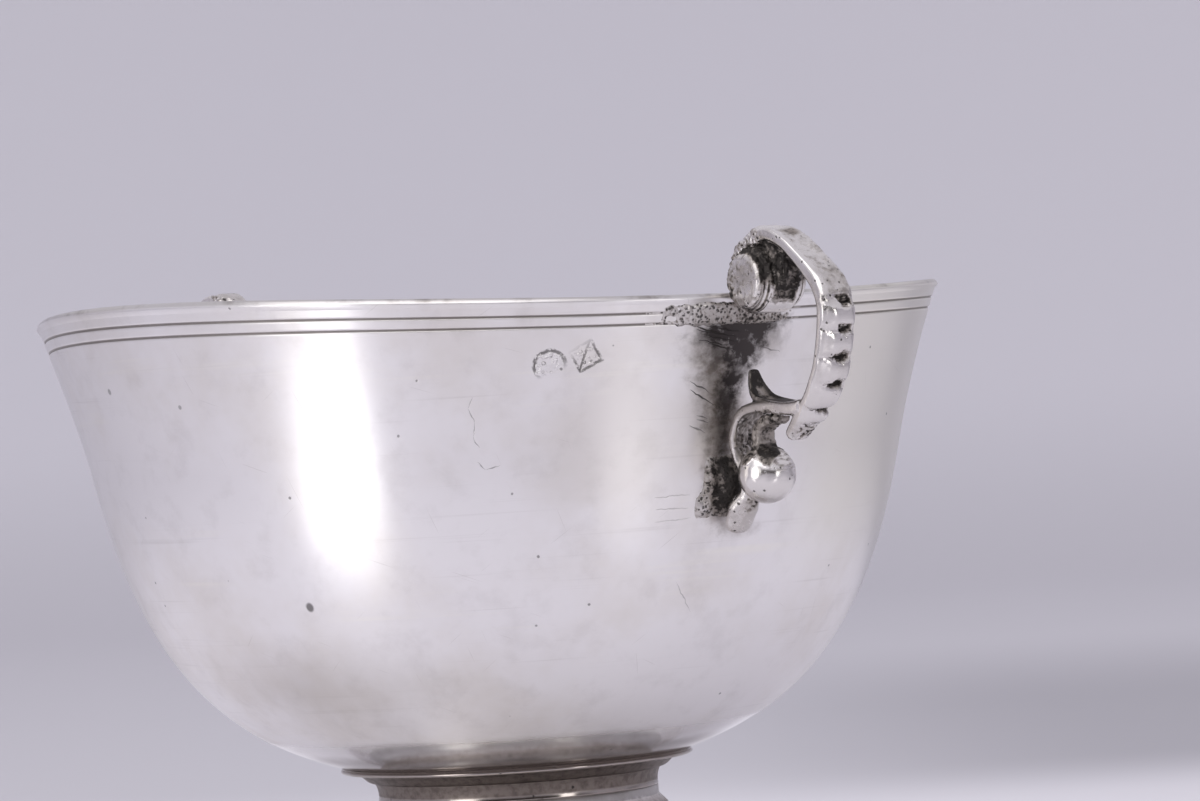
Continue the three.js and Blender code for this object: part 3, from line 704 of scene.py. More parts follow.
def bowl_finish():
    """Soft worn polish: turning lines, hairlines, tarnish, dark lines, and stain near the handles."""
    material, tree, shader = plain_finish("worn polished silver")
    place = use(tree, place_on_wall, {"Girth radius": girth})["Place"]
    drop = stored(tree, "drop") * 1000.0
    outside = stored(tree, "outside")
    lines = use(tree, turning_lines, {"Fineness": 3800.0, "Height": 0.0016})
    broad_lines = use(tree, turning_lines, {"Fineness": 1100.0, "Height": 0.0})
    clouds = use(tree, tarnish_clouds, {"Size": 26.0, "Cover": 0.5, "Seed": 2.0})["Mask"]
    fine_clouds = use(tree, tarnish_clouds, {"Size": 5.0, "Cover": 0.35, "Seed": 7.0})["Mask"]
    spots = use(tree, pits, {"Spacing": 3.2, "Size": 0.07, "Amount": 0.25})["Mask"]
    hairs = []
    for turn, seed in ((0.35, 1.0), (-0.6, 4.0), (1.2, 9.0)):
        hairs.append(use(tree, strokes, {"Place": place, "Turn": turn, "Length": 9.0, "Spacing": 0.16,
                                         "Sparse": 0.74, "Seed": seed})["Mask"])
    hair = strongest(hairs)
    round_wall, level, _ = parts(place)
    behind_handle = smooth_between(round_wall, 5.0, 20.0) * smooth_between(level, 44.0, 58.0)

    # Brown tarnish that no cloth reaches, with a painted dark reflection of the collar, on the underside
    # against the collar, and a dull patch over it
    ragged_level = level + (fine_clouds - 0.5) * 0.5
    under = outside * smooth_between(ragged_level, 27.9, 26.5)
    dull_low = patch_on(place, -66.0, 37.0, 16, 5, 0.2, 0.15, 0.6)

    # The cut lines hold dark dirt. The top of the lip is darkened with the same colour as a painted dark
    # reflection
    near_lines = []
    for line in line_drops:
        near = maths("ABSOLUTE", drop - line)
        near_lines.append(smooth_between(near, line_width * 0.62, line_width * 0.2))
    in_lines = outside * strongest(near_lines)
    lip_edge_painted_reflection = smooth_between(drop, 0.62, 0.35) * (0.35 + fine_clouds * 0.4)

    # Soot, brown stain and file strokes round each handle
    handle_stain = make_handle_stain()
    beside = []
    for turn in (0.0, math.radians(left_turn)):
        beside.append(use(tree, handle_stain, {"Turn": turn, "Level": rim_height - rim_drop(turn)}))
    soots, browns, cuts = (outside * strongest([one[mark] for one in beside])
                           for mark in ("Soot", "Brown", "Strokes"))

    # Two struck marks, left plain, dark dots and a few long scratches
    struck = [use(tree, punch_mark, {"Place": place, "Middle": on_wall(-26.3, 73.6), "Size": 1.85,
                                     "Worn side": (0.3, -0.8, 0.0)}),
              use(tree, punch_mark, {"Place": place, "Middle": on_wall(-21.8, 74.5), "Size": 2.0,
                                     "Corners": 1.0, "Turn": 0.3, "Worn side": (-0.35, 0.4, 0.0)})]
    struck_line, struck_sunk = (outside * strongest([one[mark] for one in struck])
                                for mark in ("Line", "Sunk"))
    marks = [patch_on(place, degrees, height, size, size, 0.08) * tone
             for degrees, height, size, tone in dark_dots]
    marks += [scratch_on(place, *where) * 0.5 for where in hair_scratches]
    dark_here = outside * strongest(marks)

    colour = layered(silver_colour, [
        (clouds * 0.6, warm_silver), (fine_clouds * 0.12, grey_brown), (lines["Streaks"] * 0.17, grey_brown),
        (broad_lines["Streaks"] * 0.45, yellowed), (behind_handle * 0.9, yellowed), (hair * 0.25, grey_brown),
        (spots * 0.6, soot), (under * 0.78, underside_tarnish_and_reflection), (dull_low * 0.3, grey_brown),
        (in_lines * 0.72, line_dirt_and_lip_reflection), (lip_edge_painted_reflection, line_dirt_and_lip_reflection), (browns, grey_brown), (soots, soft_soot),
        (cuts, soot), (struck_line * 0.7, soot), (dark_here, soot)])
    rough = 0.29 + clouds * 0.05 + strongest([browns, soots]) * 0.2 + in_lines * 0.25
    rough = rough + smooth_between(level, 46.0, 36.0) * 0.16 - smooth_between(level, 29.9, 28.7) * 0.34
    height = lines["Height"] - hair * 0.003
    for mask, depth in ((spots, 0.03), (cuts, 0.05), (dark_here, 0.03), (struck_sunk, 0.1),
                        (struck_line, 0.06)):
        height = height - mask * depth
    dress(shader, colour, maths("MAXIMUM", rough, 0.09), height)
    feed(shader, "Anisotropic", 0.6)
    feed(shader, "Anisotropic Rotation", 0.25)
    return material


def vertex_places(piece):
    """Where each vertex lies, in metres."""
    places = np.empty(len(piece.data.vertices) * 3)
    piece.data.vertices.foreach_get("co", places)
    return places.reshape(-1, 3)


def vertex_normals(piece):
    """Which way each vertex faces."""
    normals = np.empty(len(piece.data.vertices) * 3, np.float32)
    piece.data.vertex_normals.foreach_get("vector", normals)
    return normals.reshape(-1, 3)


def keep_values(piece, name, values):
    """Stores one number from 0 to 1 at each vertex."""
    layer = piece.data.attributes.new(name, "FLOAT", "POINT")
    layer.data.foreach_set("value", np.clip(values, 0, 1).astype(np.float32))


rim_bend = {"Rim height": rim_height * MM, "Sag": rim_sag * MM, "Sag turn": math.radians(sag_turn),
            "Lean": rim_lean * MM, "Lean turn": math.radians(lean_turn), "Bend depth": bend_depth * MM}
bowl = turned_piece("silver_bowl", bowl_outline(), bowl_finish(), steps=288, uneven=0.12, uneven_size=16,
                    seed=0.4, bend=rim_bend)
from_axis = vertex_places(bowl)[:, :2]
from_axis = from_axis / np.maximum(np.hypot(from_axis[:, 0], from_axis[:, 1]), 1e-9)[:, None]
bowl_normals = vertex_normals(bowl)
facing_out = (bowl_normals[:, :2] * from_axis).sum(axis=1) - bowl_normals[:, 2]
keep_values(bowl, "outside", facing_out * 4)
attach(bowl, "root")
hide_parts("bowl")

# The collar
# A moulded flange turned from thick silver and soldered under the bowl, with an ogee below its edge.
collar_radius = 22
collar_edge = 0.5
collar_ogee_radius = 19.4
collar_seat = 0.27
joint_gap = 0.3
neck_radius = 17.5
neck_bulge = 0.4
neck_wall = 2.6
neck_height = 2.2
inner_neck = neck_radius - neck_wall
# The collar and neck are dark brown: tarnish, and a painted dark reflection of the dim room in front
collar_tarnish_and_reflection = (0.38, 0.34, 0.315, 1)
deep_tarnish_and_reflection = (0.15, 0.122, 0.105, 1)
stain_depth = 0.5


def underside_level(radius):
    """Level of the bowl's underside at a radius."""
    return float(np.interp(radius, bottom_curve[:, 0], bottom_curve[:, 1]))


def mark_hollows(piece, rounds, depth):
    """Stores how far each vertex lies in a hollow, from 0 to 1, and how far it stands proud."""
    points = vertex_places(piece)
    edges = np.empty(len(piece.data.edges) * 2, np.int32)
    piece.data.edges.foreach_get("vertices", edges)
    edges = edges.reshape(-1, 2)
    count = np.maximum(np.bincount(edges.ravel(), minlength=len(points)), 1).astype(float)
    eased = points.copy()
    for _ in range(rounds):
        total = np.zeros_like(points)
        for a, b in ((0, 1), (1, 0)):
            for axis in range(3):
                total[:, axis] += np.bincount(edges[:, a], weights=eased[edges[:, b], axis],
                                              minlength=len(points))
        eased = 0.5 * eased + 0.5 * (total / count[:, None])
    lift = ((eased - points) * vertex_normals(piece)).sum(axis=1) / (depth * MM)
    keep_values(piece, "hollow", lift)
    keep_values(piece, "proud", -lift)


def silver_finish(name, clean, dark, roughness, line_height, cover, hollow_dark, pit_amount,
                  grain=0.0, pit_size=0.3, pit_spacing=0.6, mottle=1.0):
    """Silver with turning lines, clouds of tarnish, dark hollows, stains that also carry painted shade, and
    pits.
    """
    material, tree, shader = plain_finish(name)
    hollow, proud, stain, rugged = (stored(tree, mark) for mark in ("hollow", "proud", "stain", "rugged"))
    lines = use(tree, turning_lines, {"Fineness": 3000.0, "Height": line_height})
    clouds = use(tree, tarnish_clouds, {"Size": 7.0, "Cover": cover, "Seed": 1.0})["Mask"]
    mottled = use(tree, tarnish_clouds, {"Size": 0.9, "Cover": 0.5, "Seed": 5.0})["Mask"] - 0.5
    deep = hollow + mottled * 0.35 + clouds * 0.2 - proud * 0.5
    deep = smooth_between(deep, 0.22, 0.62) * hollow_dark
    # The stored stain holds tarnish and, on the handles and collar, painted shade and painted reflection too
    browned = smooth_between(stain + mottled * (0.25 * mottle), 0.05, 0.6)
    blackened = smooth_between(stain + mottled * (0.5 * mottle), 0.4, 0.85)
    crowded = pit_amount + rugged * 0.6
    pocks = use(tree, pits, {"Spacing": pit_spacing, "Size": pit_size, "Amount": crowded})["Mask"]
    colour = layered(clean, [
        (clouds * 0.5, dark), (lines["Streaks"] * 0.12, dark), (browned * 0.9, dark),
        (maths("MAXIMUM", deep, blackened), soot), (pocks * 0.85, soot)])
    rough = roughness + maths("MAXIMUM", deep, browned) * 0.34 + clouds * 0.08
    texture = soft_noise(object_place(tree), 1600.0, 3.0, 0.6)
    worked = maths("MAXIMUM", deep, maths("MAXIMUM", rugged, browned)) + 0.12
    dress(shader, colour, rough, lines["Height"] + texture * (worked * grain) - pocks * 0.06)
    return material


def soft_step(values, low, high):
    """0 under low, 1 over high, soft between. low may be over high."""
    share = np.clip((values - low) / (high - low), 0, 1)
    return share * share * (3 - 2 * share)


def stained_by_level(piece, clear, dark, faded=None):
    """Stains a turned piece by its level: none at clear, full at dark, gone again at faded."""
    level = vertex_places(piece)[:, 2] / MM
    stain = stain_depth * soft_step(level, clear, dark)
    if faded is not None:
        stain *= soft_step(level, faded, dark)
    keep_values(piece, "stain", stain)


def fitted(piece, node, rounds, depth):
    """Marks a piece's hollows and lets it stand for its node of the solids."""
    mark_hollows(piece, rounds, depth)
    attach(piece, "root")
    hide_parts(node)


collar_top = underside_level(collar_radius) - joint_gap
collar_bottom = underside_level(inner_neck) - joint_gap - collar_seat
foot_top = collar_bottom - neck_height
collar_silver = silver_finish("tarnished silver of the collar with painted dark reflection", collar_tarnish_and_reflection, deep_tarnish_and_reflection, 0.15, 0.002, 0.3,
                              0.3, 0.03, mottle=0.3)
seat = moved_out(bottom_curve, 0.02)
seat = seat[(seat[:, 0] > inner_neck) & (seat[:, 0] < collar_radius - 0.2)][::-4]
edge_radius = collar_edge / 2
ogee = cubic((neck_radius + neck_bulge, collar_bottom), (collar_ogee_radius, collar_bottom),
             (collar_ogee_radius - collar_edge, collar_top - collar_edge),
             (collar_radius - collar_edge, collar_top - collar_edge), 24)
edge_bead = []
for angle in np.linspace(-math.pi / 2, math.pi / 2, 9):
    edge_bead.append((collar_radius - edge_radius + edge_radius * math.cos(angle),
                      collar_top - edge_radius + edge_radius * math.sin(angle)))
collar_outline = listed(ogee) + edge_bead + listed(seat) + [(inner_neck, collar_bottom)]
collar = turned_piece("foot_collar", collar_outline + collar_outline[:1], collar_silver, steps=200,
                      uneven=0.16, uneven_size=9, seed=0.2)
# Below the edge bead the collar is darkened further: tarnish and painted dark reflection
stained_by_level(collar, collar_top - collar_edge + 0.15, collar_top - collar_edge - 0.1)
fitted(collar, "collar", rounds=12, depth=0.1)

# The neck ring
# A plain drawn band of silver between the collar and the foot, drawn in a little at its middle.
neck_side = []
for share in np.linspace(0, 1, 17):
    pull = neck_bulge * (share * share - share * (1 - share))
    neck_side.append((neck_radius + pull, foot_top + neck_height * share))
neck_outline = [(inner_neck, foot_top + 0.02)] + neck_side + [(inner_neck, collar_bottom - 0.02)]
neck = turned_piece("neck_band", neck_outline + neck_outline[:1], collar_silver, steps=200, uneven=0.08,
                    uneven_size=6, seed=0.9)
# The neck is darkened the same way: tarnish and painted dark reflection
stained_by_level(neck, foot_top + 0.3, foot_top + 0.7)
fitted(neck, "neck_ring", rounds=12, depth=0.1)

# The foot
# A spool raised from sheet silver: a stem, a hollow curve, a small step and a rounded shoulder that runs down
# to a flat flange.
foot_wall = 1.1
stem_length = 2.4
cove_radius = 23.4
cove_height = 9.6
step_width = 0.9
step_height = 0.8
flange_radius = 30.4
flange_thickness = 0.9
ring_height = 3.6
foot_colour = (0.74, 0.715, 0.70, 1)
brown_tarnish = (0.33, 0.285, 0.25, 1)
foot_silver = silver_finish("turned silver of the foot", foot_colour, brown_tarnish, 0.22, 0.0015, 0.4, 0.35,
                            0.03, mottle=0.4)
stem_foot = foot_top - stem_length
shoulder_radius = cove_radius + step_width
shoulder_top = cove_height - step_height
flange_top = ring_height + flange_thickness
cove = cubic((neck_radius, stem_foot), (neck_radius, (stem_foot + cove_height) / 2),
             (neck_radius + (cove_radius - neck_radius) * 0.35, cove_height + 1), (cove_radius, cove_height),
             40)
shoulder = cubic((shoulder_radius, shoulder_top),
                 (flange_radius - step_width * 1.4, shoulder_top - step_height * 0.4),
                 (flange_radius - step_width * 1.2, flange_top + step_height * 1.5),
                 (flange_radius - step_width, flange_top), 30)
foot_outline = [(neck_radius - 0.2, foot_top), (neck_radius, foot_top - 0.15)] + listed(cove)
foot_outline += [(shoulder_radius - 0.15, cove_height - 0.05), (shoulder_radius, cove_height - 0.2)]
foot_outline += listed(shoulder) + [(flange_radius - 0.15, flange_top), (flange_radius, flange_top - 0.15)]
foot_outline += [(flange_radius, ring_height), (flange_radius - step_width - foot_wall, ring_height)]
foot_outline += listed(moved_out(shoulder, -foot_wall)[:24][::-3])
foot_outline += listed(moved_out(cove, -foot_wall)[::-4]) + [(neck_radius - foot_wall, foot_top)]
foot = turned_piece("spool_foot", foot_outline + foot_outline[:1], foot_silver, steps=240, uneven=0.08,
                    uneven_size=12, seed=0.7)
stained_by_level(foot, foot_top - 0.6, foot_top - 1.6, faded=cove_height + 0.5)
fitted(foot, "foot", rounds=30, depth=0.25)

# The base ring
# A heavy moulded wire bent round and soldered under the flange. The cup stands on its flat underside.
base_radius = 32.6
base_width = 4.6
base_lip = 1.1
shelf = flange_radius + joint_gap
bead = cubic((base_radius, base_lip), (base_radius, ring_height * 0.75), (shelf + base_lip / 2, ring_height),
             (shelf, ring_height), 24)
ring_outline = [(base_radius - base_width, 0), (base_radius - base_lip / 4, 0), (base_radius - 0.05, 0.08),
                (base_radius, base_lip / 4)]
ring_outline += listed(bead) + [(base_radius - base_width, ring_height)]
base = turned_piece("base_wire", ring_outline + ring_outline[:1], foot_silver, steps=280)
fitted(base, "base_ring", rounds=12, depth=0.1)

# The two cast scroll handles
# Each is one casting. A strap rolls round a volute with an eye at each side, rises to a crest and falls in a
# beaded curve, with a leaf inside the loop. The lower scroll ends in a ball and a drop-shaped tail.
volute_out = 2.75
volute_up = 2.05
wrap_radius = 4.65
wrap_thickness = 1.6
wrap_deepened = 0.9
web_radius = 4.6
web_shift = 0.9
web_half = 1.45
eye_radius = 3.3
eye_step_radius = 3.85
eye_proud = 3.7
eye_lowered = 0.85
handle_rise = 7.8
handle_reach = 17.0
loop_drop = 13.4
tip_drop = 16.8
scroll_stand_off = 2.1
scroll_drop = 18.5
ball_radius = 3.4
ball_stand_off = 7
ball_drop = 21.4
thorn_stand_off = 2.7
thorn_drop = 9.4
tail_drop = 27.9
tail_stand_off = 1.8
bead_valleys = ((15.7, -2.0), (15.2, -5.0), (14.9, -8.1), (13.6, -11.3), (11.1, -14.0))
bead_swell = 0.34
cut_width = 0.44
cut_depth = 0.75
bar_spacing = 0.25
bar_sides = 28
rounded_end = ((0.35, 0.98), (0.75, 0.75), (0.93, 0.4))
casting_grain = 0.13
handle_places = (("right", 0), ("left", left_turn))
cast_colour = (0.73, 0.70, 0.68, 1)

# The left casting stands a little higher than its solid, so that its top shows over the rim
raised = {"right": 0.0, "left": 0.9}

# Thickness, half width and dish of the bars, at even stops along each course
strap_thickness = [1.5, 1.6, 1.7, 1.8, 1.8, 1.9, 2.0, 2.2, 2.1, 1.9, 1.8, 1.8, 1.8, 1.9, 1.5]
strap_widths = [2.1, 2.1, 2.1, 2.4, 2.4, 1.5]
strap_dish = [0, 0.2, 0.8, 1, 1, 0.6, 0.1, 0, 0, 0, 0, 0]
strap_wrap = [1, 1, 1, 1, 0.6, 0.2] + [0] * 13
thorn_thickness = [1.9, 2.0, 1.8, 1.5, 1.2, 0.7]
thorn_widths = [2.1, 2.1, 2.0, 1.8, 1.4, 0.7]
thorn_hollow = [0, 0.6, 1, 1, 0.8, 0]
scroll_thickness = [1.7, 1.7, 1.7, 1.7, 1.7, 1.7, 1.6, 1.6, 2.2, 2.9, 2.3]
scroll_widths = [2, 2.1, 2.2, 2.3, 2.3, 2.2, 1.8, 1.3, 1.3, 2.0, 1.8]
scroll_dish = [0, 0.5, 1, 1, 1, 0.6, 0, 0, 0]
scroll_roundness = [0.6, 0.6, 0.6, 0.7, 0.9, 1.0, 1.0]


def spline(knots, spacing):
    """Evenly spaced points and directions on a smooth curve through knots in the XZ plane."""
    knots = np.array(knots, float)
    knots = np.vstack([2 * knots[0] - knots[1], knots, 2 * knots[-1] - knots[-2]])
    line = []
    for p0, p1, p2, p3 in zip(knots, knots[1:], knots[2:], knots[3:]):
        t0 = 0.0
        t1 = t0 + math.sqrt(np.linalg.norm(p1 - p0))
        t2 = t1 + math.sqrt(np.linalg.norm(p2 - p1))
        t3 = t2 + math.sqrt(np.linalg.norm(p3 - p2))
        for t in np.linspace(t1, t2, 24, endpoint=False):
            a1 = (t1 - t) / (t1 - t0) * p0 + (t - t0) / (t1 - t0) * p1
            a2 = (t2 - t) / (t2 - t1) * p1 + (t - t1) / (t2 - t1) * p2
            a3 = (t3 - t) / (t3 - t2) * p2 + (t - t2) / (t3 - t2) * p3
            b1 = (t2 - t) / (t2 - t0) * a1 + (t - t0) / (t2 - t0) * a2
            b2 = (t3 - t) / (t3 - t1) * a2 + (t - t1) / (t3 - t1) * a3
            line.append((t2 - t) / (t2 - t1) * b1 + (t - t1) / (t2 - t1) * b2)
    line.append(knots[-2])
    line = np.array(line)
    run = np.concatenate([[0], np.cumsum(np.linalg.norm(np.diff(line, axis=0), axis=1))])
    steps = max(4, int(run[-1] / spacing))
    wanted_run = np.linspace(0, run[-1], steps + 1)
    points = np.column_stack([np.interp(wanted_run, run, line[:, i]) for i in (0, 1)])
    slope = np.gradient(points, axis=0)
    slope /= np.linalg.norm(slope, axis=1)[:, None]
    return points, slope, wanted_run / run[-1]


def stops(values, along):
    """A value that runs smoothly through evenly spaced stops."""
    return float(np.interp(along * (len(values) - 1), range(len(values)), values))


def lofted(rings, start, end):
    """One closed skin over rings, with a point at each end, as vertices and faces."""
    count = len(rings[0])
    vertices = [p for ring in rings for p in ring] + [start, end]
    first, last = len(vertices) - 2, len(vertices) - 1
    faces = []
    for k in range(count):
        n = (k + 1) % count
        faces.append((first, k, n))
        for r in range(len(rings) - 1):
            a, b = r * count, (r + 1) * count
            faces.append((a + k, b + k, b + n, a + n))
        a = (len(rings) - 1) * count
        faces.append((last, a + n, a + k))
    return vertices, faces


def swept(knots, section):
    """A closed bar along a course.

    section(along) gives its outer, inner and half width, and may say how its outer face is dished, how its
    inner face is hollowed, and how square it is."""
    points, slope, shares = spline(knots, bar_spacing)
    first, last = section(0.0), section(1.0)
    stations = [(0, size, -push * first["inner"]) for size, push in rounded_end]
    stations += [(i, 1.0, 0.0) for i in range(len(points))]
    stations += [(len(points) - 1, size, push * last["inner"]) for size, push in rounded_end[::-1]]
    rings = []
    for i, size, push in stations:
        shape = section(float(shares[i]))
        power = shape.get("square", 0.6)
        normal = (-slope[i][1], slope[i][0])
        ring = []
        for k in range(bar_sides):
            angle = 2 * math.pi * (k + 0.5) / bar_sides
            u = math.copysign(abs(math.cos(angle)) ** power, math.cos(angle))
            v = math.copysign(abs(math.sin(angle)) ** power, math.sin(angle))
            reach = shape["outer"] if u > 0 else shape["inner"]
            dish = shape.get("dish", 0.0) if u > 0 else shape.get("under", 0.0)
            side = u * (reach - dish * (1 - v * v)) * size
            x = points[i][0] + normal[0] * side + slope[i][0] * push
            z = points[i][1] + normal[1] * side + slope[i][1] * push
            ring.append((x, v * shape["half"] * size, z))
        rings.append(ring)
    start = points[0] - slope[0] * first["inner"]
    end = points[-1] + slope[-1] * last["inner"]
    return lofted(rings, (start[0], 0, start[1]), (end[0], 0, end[1]))


def spun(profile, middle, sides=56):
    """A form turned about a line along Y through (x, z) middle.

    The profile is of (radius, y) points that start and end at radius 0."""
    x, z = middle
    angles = [2 * math.pi * k / sides for k in range(sides)]
    rings = [[(x + radius * math.cos(a), y, z + radius * math.sin(a)) for a in angles]
             for radius, y in profile[1:-1]]
    return lofted(rings, (x, profile[0][1], z), (x, profile[-1][1], z))


def handle_courses(level):
    """The courses that one casting's parts follow, in millimetres out from the axis and up.

    level is the rim's level there."""

    def lip(out, up):
        return (rim_radius + out, level + up)

    def loop(*places):
        return [lip(handle_reach - inward, up - loop_drop) for inward, up in places]

    def side(stand_off, drop, *places):
        return [(wall_radius(level + (up - drop)) + (stand_off + off), level + (up - drop))
                for off, up in places]

    strap = []
    for degrees in (205, 180, 155, 130):
        angle = math.radians(degrees)
        reach = wrap_radius - wrap_thickness / 2
        strap.append(lip(volute_out + reach * math.cos(angle), volute_up + reach * math.sin(angle)))
    strap += [lip(volute_out + out, handle_rise - 1.15) for out in (1.2, 2.8)]
    strap += [lip(handle_reach - inward, handle_rise - down)
              for inward, down in ((8.4, 2.5), (6.5, 3.9), (4, 5.9), (2.3, 7.7))]
    strap += loop((1.35, 11.2), (1.5, 9), (2.2, 6.1), (3.1, 3.6), (4.8, 1.2), (7, -0.8))
    strap += [lip(handle_reach - 8.9, 1 - tip_drop), lip(handle_reach - 10.1, -tip_drop)]
    thorn = loop((7.2, -0.3), (9.5, -0.4), (12.6, 0))
    thorn += side(thorn_stand_off, thorn_drop, (2.4, -2.9), (0.9, -1.5), (0, 0))
    scroll = loop((11, -0.5), (14.2, -0.1))
    scroll += side(scroll_stand_off, scroll_drop, (1.4, 4.3), (0.3, 2.6), (0, 0.8), (0.7, -1.4), (1.7, -3.4),
                   (1.8, -5.2))
    scroll += side(tail_stand_off, tail_drop, (1.2, 3), (0.5, 0.9))
    ball = side(ball_stand_off, ball_drop, (0, 0))[0]
    stem = [lip(out, up - loop_drop) for out, up in ((3.9, -1.4), (2.2, -1.7), (0.7, -2.3))]
    stem += [(ball[0] - 0.35, ball[1] + ball_radius + 1.0), (ball[0] - 0.1, ball[1] + ball_radius - 1.2)]
    return {"strap": strap, "thorn": thorn, "scroll": scroll, "stem": stem, "ball": ball,
            "valleys": [lip(*place) for place in bead_valleys], "crest": lip(7.3, 6.8),
            "pocket": lip(15.4, -1.5), "tip": lip(8.0, -16.0), "under_ball": lip(-2.4, -24.9),
            "eye": lip(volute_out, volute_up - eye_lowered),
            "web": lip(volute_out + web_shift, volute_up + web_shift)}


def handle_shapes(courses):
    """Every form in one casting, each closed, as vertices and faces in millimetres."""

    def strap_section(along):
        half = stops(strap_thickness, along) / 2
        return {"outer": half, "inner": half + wrap_deepened * stops(strap_wrap, along),
                "half": stops(strap_widths, along), "dish": 0.5 * stops(strap_dish, along), "square": 0.55}

    def thorn_section(along):
        half = stops(thorn_thickness, along) / 2
        return {"outer": half, "inner": half, "half": stops(thorn_widths, along),
                "under": 0.6 * stops(thorn_hollow, along)}

    def scroll_section(along):
        half = stops(scroll_thickness, along) / 2
        return {"outer": half, "inner": half, "half": stops(scroll_widths, along),
                "dish": 0.55 * stops(scroll_dish, along), "square": stops(scroll_roundness, along)}

    def stem_section(along):
        return {"outer": 0.6 + 0.5 * along, "inner": 0.65, "half": 1.1 + 0.5 * along}

    eye = [(0, eye_proud - 0.12), (eye_radius * 0.3, eye_proud - 0.1), (eye_radius * 0.62, eye_proud),
           (eye_radius * 0.86, eye_proud - 0.12), (eye_radius * 0.97, eye_proud - 0.4),
           (eye_radius, eye_proud - 0.8), (eye_radius + 0.05, web_half + 1.0),
           (eye_radius + 0.3, web_half + 0.85), (eye_step_radius - 0.1, web_half + 0.75),
           (eye_step_radius, web_half + 0.55), (eye_step_radius, web_half - 0.3), (eye_step_radius, 0)]
    eye += [(r, -y) for r, y in eye[-2::-1]]
    web = [(0, web_half), (web_radius - 0.4, web_half), (web_radius, web_half - 0.4),
           (web_radius, 0.4 - web_half), (web_radius - 0.4, -web_half), (0, -web_half)]
    ball = [(ball_radius * math.sin(a), ball_radius * math.cos(a)) for a in np.linspace(0, math.pi, 25)]
    return [swept(courses["strap"], strap_section), spun(eye, courses["eye"]), spun(web, courses["web"]),
            swept(courses["thorn"], thorn_section), swept(courses["scroll"], scroll_section),
            spun(ball, courses["ball"], 48), swept(courses["stem"], stem_section)]


def along_course(flat, course):
    """For (out, up) places: millimetres along a course, off its side (outside positive), and away from it."""
    line, slope, shares = spline(course, 0.2)
    length = np.linalg.norm(np.diff(line, axis=0), axis=1).sum()
    normals = np.column_stack([-slope[:, 1], slope[:, 0]])
    found = []
    for start in range(0, len(flat), 8000):
        part = flat[start:start + 8000]
        gap = part[:, None, :] - line[None]
        distance = (gap ** 2).sum(axis=2)
        nearest = distance.argmin(axis=1)
        rows = np.arange(len(part))
        off = (gap[rows, nearest] * normals[nearest]).sum(axis=1)
        found.append((shares[nearest] * length, off, np.sqrt(distance[rows, nearest])))
    return [np.concatenate(each) for each in zip(*found)]


def run_to(place, course):
    """How far along a course a place lies."""
    return float(along_course(np.array([place]), course)[0][0])


def lumps(points, size, seed):
    """Smooth noise of about plus or minus 1 at points in millimetres."""
    return 2 * np.array([noise.noise(Vector((x / size + seed, y / size, z / size))) for x, y, z in points])


def move_vertices(piece, places):
    """Puts each vertex in a new place, in metres."""
    piece.data.vertices.foreach_set("co", places.ravel())
    piece.data.update()


